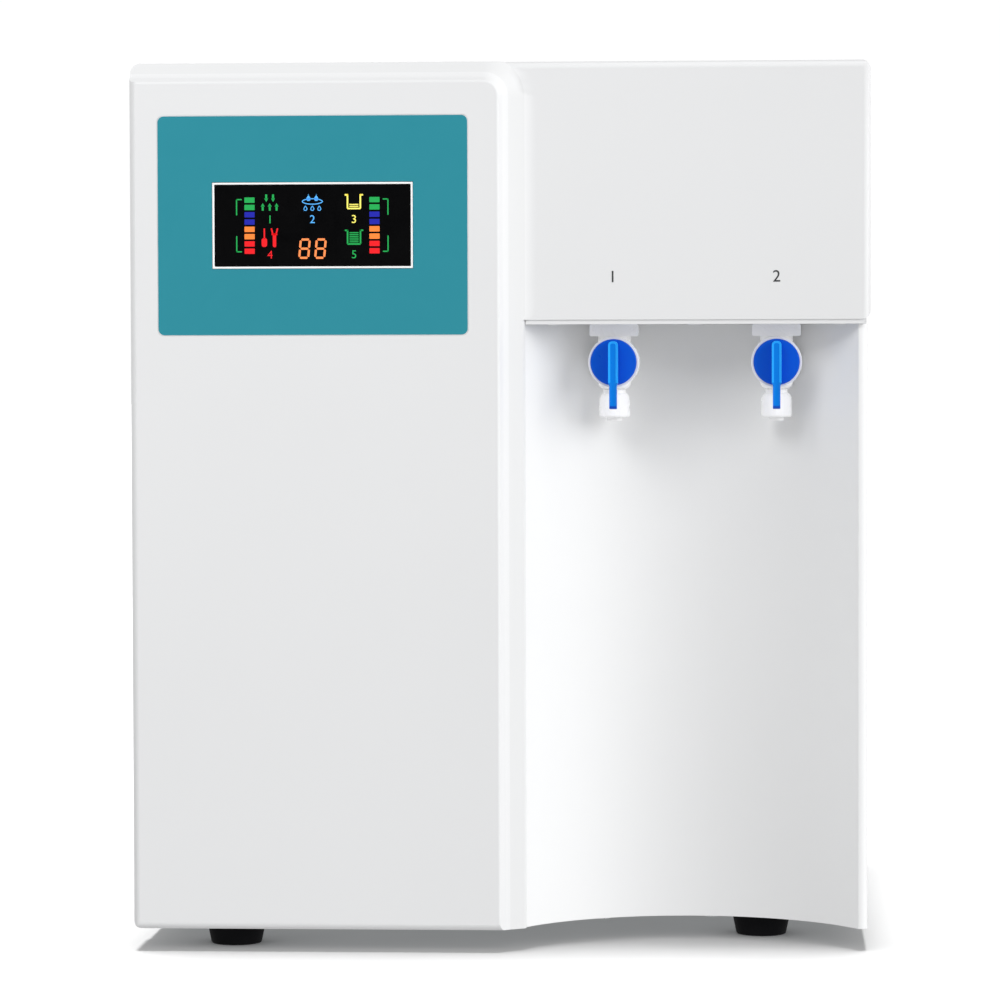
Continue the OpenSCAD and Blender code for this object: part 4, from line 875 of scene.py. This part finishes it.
def addNozzle(side, look):
    node = side + "_tap_nozzle"
    low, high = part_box(node)
    top = topOf(node)
    bottom = inMm(low)[2]
    middle = Vector(((low.x + high.x) / 2, (low.y + high.y) / 2, 0))
    straight = look["domeFrom"] - look["bodyBottom"]
    barrelMiddle = middle + Vector((0, 0, mm(look["domeFrom"] - straight / 2)))
    nozzle = addRod(look["points"], look["r"], straight, barrelMiddle)
    z = look["domeFrom"]
    radius = look["r"]
    for step in range(1, look["domeSteps"] + 1):
        turn = math.radians(90) * step / look["domeSteps"]
        newZ = look["domeFrom"] + look["domeRise"] * math.sin(turn)
        newRadius = look["neckR"] + (look["r"] - look["neckR"]) * math.cos(turn)
        drawOut(nozzle, z, newZ - z, newRadius / radius, middle)
        z = newZ
        radius = newRadius
    drawOut(nozzle, z, top - z, 1.0, middle)
    drawIn(nozzle, 1, top, look["neckR"] - look["boreR"], -look["boreDepth"])
    footLine = look["bodyBottom"] + tight
    bevelWhere(nozzle, lambda a, b: max(a[2], b[2]) < footLine, look["foot"], look["footSteps"])
    drawIn(nozzle, -1, look["bodyBottom"], look["r"] - look["foot"] - look["spoutR"],
           bottom - look["bodyBottom"])
    drawIn(nozzle, -1, bottom, look["spoutR"] - look["spoutBoreR"], look["spoutBore"])
    finishPiece(nozzle, node, finishes["tap_white"])


for side in sides:
    addNozzle(side, nozzleLook)
print("tap nozzles made")

# screws: a pan head with a cross recess, modelled once for each length and copied to its places
screwLook = {"headR": 3.6, "headH": 1.4, "headRound": 0.85, "headSteps": 4, "headPoints": 40,
             "headMargin": 0.3, "shankR": 1.9, "slotW": 0.85, "slotLen": 4.3, "slotDepth": 0.9,
             "slotTurns": (45, 135), "bump": 0.02,
             "lowHead": {"headH": 0.45, "headRound": 0.3, "slotDepth": 0.25}, "shelfReach": 4.0,
             "white": tones((0.80, 0.805, 0.81), (0.77, 0.775, 0.78), 0.35, 0.45)}
screwWhite = finishOf("screw_white", "peel", screwLook["white"], screwLook["bump"])


def screwPattern(look, shankLen):
    screw = addRod(look["headPoints"], look["headR"], look["headH"], (0, 0, mm(look["headH"] / 2)))
    drawIn(screw, -1, 0.0, look["headR"] - look["shankR"], -shankLen)
    topLine = look["headH"] - tight
    bevelWhere(screw, lambda a, b: min(a[2], b[2]) > topLine, look["headRound"], look["headSteps"])
    for turn in look["slotTurns"]:
        cutter = addBlock((look["slotLen"], look["slotW"], 2 * look["slotDepth"]), (0, 0, mm(look["headH"])),
                          (0, 0, math.radians(turn)))
        modify(screw, "BOOLEAN", operation="DIFFERENCE", solver="EXACT", object=cutter)
        bpy.data.objects.remove(cutter)
    return screw


def axisVector(along, way):
    return Vector([way if i == along else 0.0 for i in range(3)])


# the head's top, the way it faces and the length of each screw in the node
def screwSpots(node, look):
    piece = mergedCopy(node)
    editAll(piece)
    bpy.ops.mesh.separate(type="LOOSE")
    endEdit()
    wide = mm(look["headR"] - look["headMargin"])
    spots = []
    for part in list(bpy.context.selected_objects):
        points = [vert.co.copy() for vert in part.data.vertices]
        low = Vector([min(point[i] for point in points) for i in range(3)])
        high = Vector([max(point[i] for point in points) for i in range(3)])
        size = high - low
        centre = (low + high) / 2
        along = max(range(3), key=lambda i: abs(size[i] - mm(2 * look["headR"])))
        line = axisVector(along, 1.0)
        headEnd = [point[along] for point in points
                   if (point - centre - (point - centre).project(line)).length > wide]
        way = 1.0 if sum(headEnd) / len(headEnd) > centre[along] else -1.0
        tip = centre.copy()
        tip[along] = high[along] if way > 0 else low[along]
        spots.append((tip, axisVector(along, way), size[along] * perMetre))
        bpy.data.objects.remove(part)
    return spots


def addScrews(node, look, isWhite):
    patterns = {}
    screws = []
    for tip, axis, length in screwSpots(node, look):
        kind = (isWhite(tip), round(length, 1))
        if kind not in patterns:
            head = {**look, **look["lowHead"]} if isWhite(tip) else look
            patterns[kind] = screwPattern(head, length - look["headH"])
        screw = patterns[kind].copy()
        screw.data = patterns[kind].data.copy()
        bpy.context.scene.collection.objects.link(screw)
        screw.rotation_euler = axis.to_track_quat("Z", "Y").to_euler()
        screw.location = tip - axis * mm(look["headH"])
        screws.append(dress(screw, screwWhite if isWhite(tip) else finishes["screw_steel"]))
    for pattern in patterns.values():
        bpy.data.objects.remove(pattern)
    pick(*screws)
    applyAll()
    standFor(joinAs(screws, node + "_shaped"), node)
    print(node, "screws placed:", len(screws))


shelfLow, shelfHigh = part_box("tap_shelf")
shelfReach = mm(screwLook["shelfReach"])
addScrews("case_screws", screwLook,
          lambda tip: abs(tip.z - shelfLow.z) < shelfReach and shelfLow.y < tip.y < shelfHigh.y)
addScrews("foot_screws", screwLook, lambda tip: False)

# display signs: thin lit plates on the lens, all places in mm from the lens centre
signLook = {"back": 0.52, "thick": 0.2, "corner": 0.25, "cornerSteps": 4, "points": 28,
            "dim": 0.86, "glow": 0.3, "rough": (0.3, 0.42), "smear": 900.0, "bump": 0.01,
            "colours": {"green": (0.012, 0.36, 0.075), "blue": (0.010, 0.014, 0.36),
                        "orange": (0.93, 0.22, 0.035), "red": (0.80, 0.008, 0.014), "sky": (0.09, 0.42, 0.90),
                        "yellow": (0.95, 0.86, 0.16), "digit": (0.98, 0.27, 0.08)}}
lensMiddle = middleOf("display_window")


def onLens(x, z):
    return place(lensMiddle[0] + x, signLook["back"], lensMiddle[2] + z)


def litFinish(name, colour):
    dim = tuple(channel * signLook["dim"] for channel in colour)
    values = tones(colour, dim, *signLook["rough"], Smear_Scale=signLook["smear"])
    material = finishOf(name, "gloss", values, signLook["bump"], Emission_Strength=signLook["glow"])
    tree = material.node_tree
    body = tree.nodes["Principled BSDF"]
    tree.links.new(tree.nodes["Group"].outputs["Color"], body.inputs["Emission Color"])
    return material


lit = {name: litFinish("lit_" + name, colour) for name, colour in signLook["colours"].items()}


def flatStart(operator, x, z, **setup):
    clearSelection()
    operator(location=onLens(x, z), rotation=upright, **setup)
    return bpy.context.object


def thicken(piece):
    modify(piece, "SOLIDIFY", thickness=mm(signLook["thick"]), offset=1.0)


def flatBar(x, z, width, height, colour, corner, turn=0.0):
    bar = flatStart(bpy.ops.mesh.primitive_plane_add, x, z, size=1)
    bar.scale = (mm(width), mm(height), 1)
    bpy.ops.object.transform_apply(location=False, rotation=False, scale=True)
    editAll(bar)
    bpy.ops.mesh.bevel(affect="VERTICES", offset=mm(corner), segments=signLook["cornerSteps"])
    endEdit()
    bar.rotation_euler.y = math.radians(turn)
    thicken(bar)
    return dress(bar, lit[colour])


# a drop is a disc whose upper part is narrowed and whose top point is drawn up
dropShape = {"shoulder": 0.45, "crown": 0.985, "narrow": 0.62, "lift": 0.35}


def drawTip(disc, x, z, radius, tip):
    lift = mm(tip * dropShape["lift"])
    shoulder = onLens(x, z + radius * dropShape["shoulder"]).z
    crown = onLens(x, z + radius * dropShape["crown"]).z + lift - mergeReach
    editWith(disc, vertTest=lambda co: co.z > shoulder)
    bpy.ops.transform.resize(value=(dropShape["narrow"], 1, 1), center_override=onLens(x, z))
    bpy.ops.transform.translate(value=(0, 0, lift))
    endEdit()
    moveWhere(disc, lambda co: co.z > crown, (0, 0, mm(tip) - lift))


def flatDisc(x, z, radius, colour, flatness=1.0, ring=0.0, tip=0.0, points=signLook["points"]):
    disc = flatStart(bpy.ops.mesh.primitive_circle_add, x, z, vertices=points, radius=mm(radius),
                     fill_type="NGON")
    disc.scale = (1, flatness, 1)
    applyAll()
    if tip:
        drawTip(disc, x, z, radius, tip)
    if ring:
        editWith(disc, faceTest=lambda centre, normal: True)
        bpy.ops.mesh.inset(thickness=mm(ring))
        bpy.ops.mesh.delete(type="FACE")
        endEdit()
    thicken(disc)
    return dress(disc, lit[colour])


def finishSigns(parts, name):
    addOn(joinAs(parts, name), "display_window")


# level bars at both sides, and a bracket outside each row
barLook = {"x": (-34.1, 33.6), "top": 13.75, "pitch": 3.93, "width": 5.5, "height": 2.9,
           "colours": ("green", "green", "blue", "blue", "orange", "orange", "red", "red")}
for side, x in zip(sides, barLook["x"]):
    parts = []
    for row, colour in enumerate(barLook["colours"]):
        z = barLook["top"] - row * barLook["pitch"]
        parts.append(flatBar(x, z, barLook["width"], barLook["height"], colour, signLook["corner"]))
    finishSigns(parts, side + "_level_bars")

bracketLook = {"x": (-41.1, 40.9), "reach": 2.5, "line": 0.65, "top": 14.4, "gap": 5.6, "corner": 0.2}


def levelBracket(x, inward, look):
    line = look["line"]
    tall = look["top"] - look["gap"]
    middle = (look["top"] + look["gap"]) / 2
    parts = []
    for way in (1, -1):
        parts.append(flatBar(x, way * middle, line, tall, "green", look["corner"]))
        parts.append(flatBar(x + inward * look["reach"] / 2, way * (look["top"] - line / 2),
                             look["reach"] + line, line, "green", look["corner"]))
    return parts


for side, x, inward in zip(sides, bracketLook["x"], (1, -1)):
    finishSigns(levelBracket(x, inward, bracketLook), side + "_level_bracket")

# flush sign: two arrows down over three arrows up
arrowLook = {"down": ((-25.0, 14.9), (-21.3, 14.9)), "up": ((-26.9, 9.95), (-23.1, 9.95), (-19.4, 9.95)),
             "headAt": 0.912, "headR": 1.218, "shaftAt": 0.608, "shaftW": 1.092, "shaftH": 2.584,
             "corner": 0.1}


def flatArrow(x, z, way, look):
    head = flatStart(bpy.ops.mesh.primitive_circle_add, x, z + way * look["headAt"], vertices=3,
                     radius=mm(look["headR"]), fill_type="NGON")
    head.rotation_euler.y = 0 if way > 0 else math.pi
    bpy.ops.object.transform_apply(location=False, rotation=True, scale=True)
    thicken(head)
    shaft = flatBar(x, z - way * look["shaftAt"], look["shaftW"], look["shaftH"], "green", look["corner"])
    return [dress(head, lit["green"]), shaft]


parts = []
for name, way in (("down", -1), ("up", 1)):
    for x, z in arrowLook[name]:
        parts += flatArrow(x, z, way, arrowLook)
finishSigns(parts, "flush_sign")

# water sign: a flat dish with drops over and under it
dropLook = {"dishZ": 12.9, "dishR": 5.7, "dishFlat": 0.3, "dishPoints": 48, "line": 0.5,
            "upper": (-2.1, 2.1), "upperZ": 14.3, "upperR": 1.15,
            "lower": (-3.75, 0.0, 3.75), "lowerZ": 8.9, "lowerR": 1.05, "lowerLine": 0.42, "tip": 1.7}
parts = [flatDisc(0, dropLook["dishZ"], dropLook["dishR"], "sky", flatness=dropLook["dishFlat"],
                  ring=dropLook["line"], points=dropLook["dishPoints"])]
for x in dropLook["upper"]:
    parts.append(flatDisc(x, dropLook["upperZ"], dropLook["upperR"], "sky", tip=dropLook["tip"]))
for x in dropLook["lower"]:
    parts.append(flatDisc(x, dropLook["lowerZ"], dropLook["lowerR"], "sky", tip=dropLook["tip"],
                          ring=dropLook["lowerLine"]))
finishSigns(parts, "water_sign")

# tank signs: an open tank with rows of lines for its filling
tankLook = {"x": 22.5, "halfWidth": 3.9, "line": 0.85, "height": 8.2, "lip": 1.1, "floorGap": 0.6,
            "corner": 0.3, "rowStart": 0.75, "rowWidth": 4.9, "rowLine": 0.55, "rowCorner": 0.1,
            "low": {"top": 16.8, "fill": 2.0, "rows": 2, "colour": "yellow"},
            "full": {"top": -2.3, "fill": 5.9, "rows": 6, "colour": "green"}}


def tankSign(look, level):
    x = look["x"]
    line = look["line"]
    corner = look["corner"]
    bottom = level["top"] - look["height"]
    middle = level["top"] - look["height"] / 2
    colour = level["colour"]
    parts = [flatBar(x, bottom + line / 2, 2 * look["halfWidth"] - look["floorGap"], line, colour, corner)]
    for way in (-1, 1):
        wallX = x + way * (look["halfWidth"] - line / 2)
        parts.append(flatBar(wallX, middle + line / 4, line, look["height"] - line / 2, colour, corner))
        parts.append(flatBar(wallX + way * look["lip"] / 2, level["top"] - line / 2, look["lip"] + line, line,
                             colour, corner))
    for row in range(level["rows"]):
        z = bottom + line + look["rowStart"] + row * level["fill"] / level["rows"]
        parts.append(flatBar(x, z, look["rowWidth"], look["rowLine"], colour, look["rowCorner"]))
    return parts


for name in ("low", "full"):
    finishSigns(tankSign(tankLook, tankLook[name]), name + "_tank_sign")

# service sign: a driver's blade and grip, then a wrench's shaft, its two jaws and its throat,
# each bar by x, z, width, height, corner and turn
toolLook = {"colour": "red", "bars": ((-26.1, -4.3, 0.8, 5.6, 0.2, 0), (-26.1, -9.1, 3.0, 4.8, 1.2, 0),
                                      (-20.6, -7.9, 1.9, 7.6, 0.9, 0), (-21.9, -3.0, 0.85, 3.2, 0.3, -14),
                                      (-19.3, -3.0, 0.85, 3.2, 0.3, 14), (-20.6, -4.7, 3.1, 1.0, 0.3, 0))}
finishSigns([flatBar(x, z, width, height, toolLook["colour"], corner, turn)
             for x, z, width, height, corner, turn in toolLook["bars"]], "service_sign")

# two leaning digits, each of seven bars
digitLook = {"x": (-4.35, 4.3), "z": -12.5, "width": 6.0, "tall": 11.0, "line": 1.15, "gap": 0.35,
             "slant": 0.09, "endShare": 0.55, "sideShare": 0.6, "corner": 0.5}


def digitEight(x, look):
    line = look["line"]
    across = look["width"] - line
    half = (look["tall"] - line) / 2
    reach = half - line * look["endShare"] - look["gap"]
    lean = math.degrees(math.atan(look["slant"]))
    parts = []
    for level in (-1, 0, 1):
        parts.append(flatBar(x + level * half * look["slant"], look["z"] + level * half,
                             across - line * look["sideShare"], line, "digit", look["corner"]))
    for way in (-1, 1):
        for level in (-0.5, 0.5):
            barX = x + way * across / 2 + level * half * look["slant"]
            parts.append(flatBar(barX, look["z"] + level * half, line, reach, "digit", look["corner"], lean))
    return parts


for name, x in zip(("tens_digit", "units_digit"), digitLook["x"]):
    finishSigns(digitEight(x, digitLook), name)
print("display signs made")


# plain marks: on the display under each sign, over each tap and port, and on the switch
def numberPlate(text, spot, normal, look, material):
    clearSelection()
    bpy.ops.object.text_add(location=(0, 0, 0))
    plate = bpy.context.object
    plate.data.body = text
    plate.data.size = mm(look["size"])
    plate.data.align_x = "CENTER"
    plate.data.align_y = "CENTER"
    plate.data.extrude = mm(look["thick"] / 2)
    bpy.ops.object.convert(target="MESH")
    plate = bpy.context.object
    editAll(plate)
    bpy.ops.mesh.remove_doubles(threshold=mergeReach)
    endEdit()
    plate.rotation_euler = normal.to_track_quat("Z", "Y").to_euler()
    plate.location = spot + normal * mm(look["thick"] / 2)
    applyAll()
    return dress(plate, material)


forward = Vector((0, -1, 0))
backward = Vector((0, 1, 0))
signNumbers = {"size": 6.2, "thick": 0.2,
               "marks": (("1", -23.0, 3.1, "green"), ("2", 0.0, 3.1, "sky"), ("3", 22.5, 3.1, "yellow"),
                         ("4", -23.0, -15.9, "red"), ("5", 22.5, -15.9, "green"))}
for text, x, z, colour in signNumbers["marks"]:
    finishSigns([numberPlate(text, onLens(x, z), forward, signNumbers, lit[colour])], "sign_number_" + text)

printLook = {"size": 9.0, "thick": 0.12, "sink": 0.02, "tapZ": 365.5, "tapDepth": 12.0, "overPort": 24.0,
             "bump": 0.02,
             "taps": (("1", "left"), ("2", "right")),
             "ports": (("3", "feed_port"), ("4", "drain_port"), ("5", "tank_port")),
             "ink": tones((0.030, 0.032, 0.034), (0.045, 0.047, 0.05), 0.4, 0.5)}
printInk = finishOf("print_ink", "grain", printLook["ink"], printLook["bump"])


def addPrint(text, spot, normal, name, node):
    plate = numberPlate(text, spot - normal * mm(printLook["sink"]), normal, printLook, printInk)
    addOn(settle(plate, name), node)


for text, side in printLook["taps"]:
    spot = place(middleOf(side + "_tap_body")[0], printLook["tapDepth"], printLook["tapZ"])
    addPrint(text, spot, forward, side + "_tap_number", "front_fascia")
rearFace = inMm(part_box("rear_panel")[1])[1]
for text, port in printLook["ports"]:
    x, depth, z = middleOf(port)
    addPrint(text, place(x, rearFace, z + printLook["overPort"]), backward, port + "_number", "rear_panel")

# switch marks: each on the large rearward face of the rocker that is nearest to its height
switchMarks = {"size": 4.2, "thick": 0.16, "sink": 0.02, "places": (("O", -0.9), ("I", 4.2)),
               "minArea": 8e-6, "rearward": 0.8, "bump": 0.02,
               "ink": tones((0.82, 0.82, 0.82), (0.76, 0.76, 0.76), 0.4, 0.5)}


def addSwitchMarks(look):
    ink = finishOf("mark_ink", "grain", look["ink"], look["bump"])
    rocker = bpy.data.objects["power_rocker_shaped"].data
    faces = [face for face in rocker.polygons
             if face.normal.y > look["rearward"] and face.area > look["minArea"]]
    middleZ = middleOf("power_rocker")[2]
    marks = []
    for text, offset in look["places"]:
        markZ = mm(middleZ + offset)
        face = min(faces, key=lambda face: abs(face.center.z - markZ))
        spot = face.center - face.normal * mm(look["sink"])
        marks.append(numberPlate(text, spot, face.normal.copy(), look, ink))
    addOn(joinAs(marks, "switch_marks"), "power_rocker")


addSwitchMarks(switchMarks)
print("numbers placed")

bpy.context.view_layer.update()
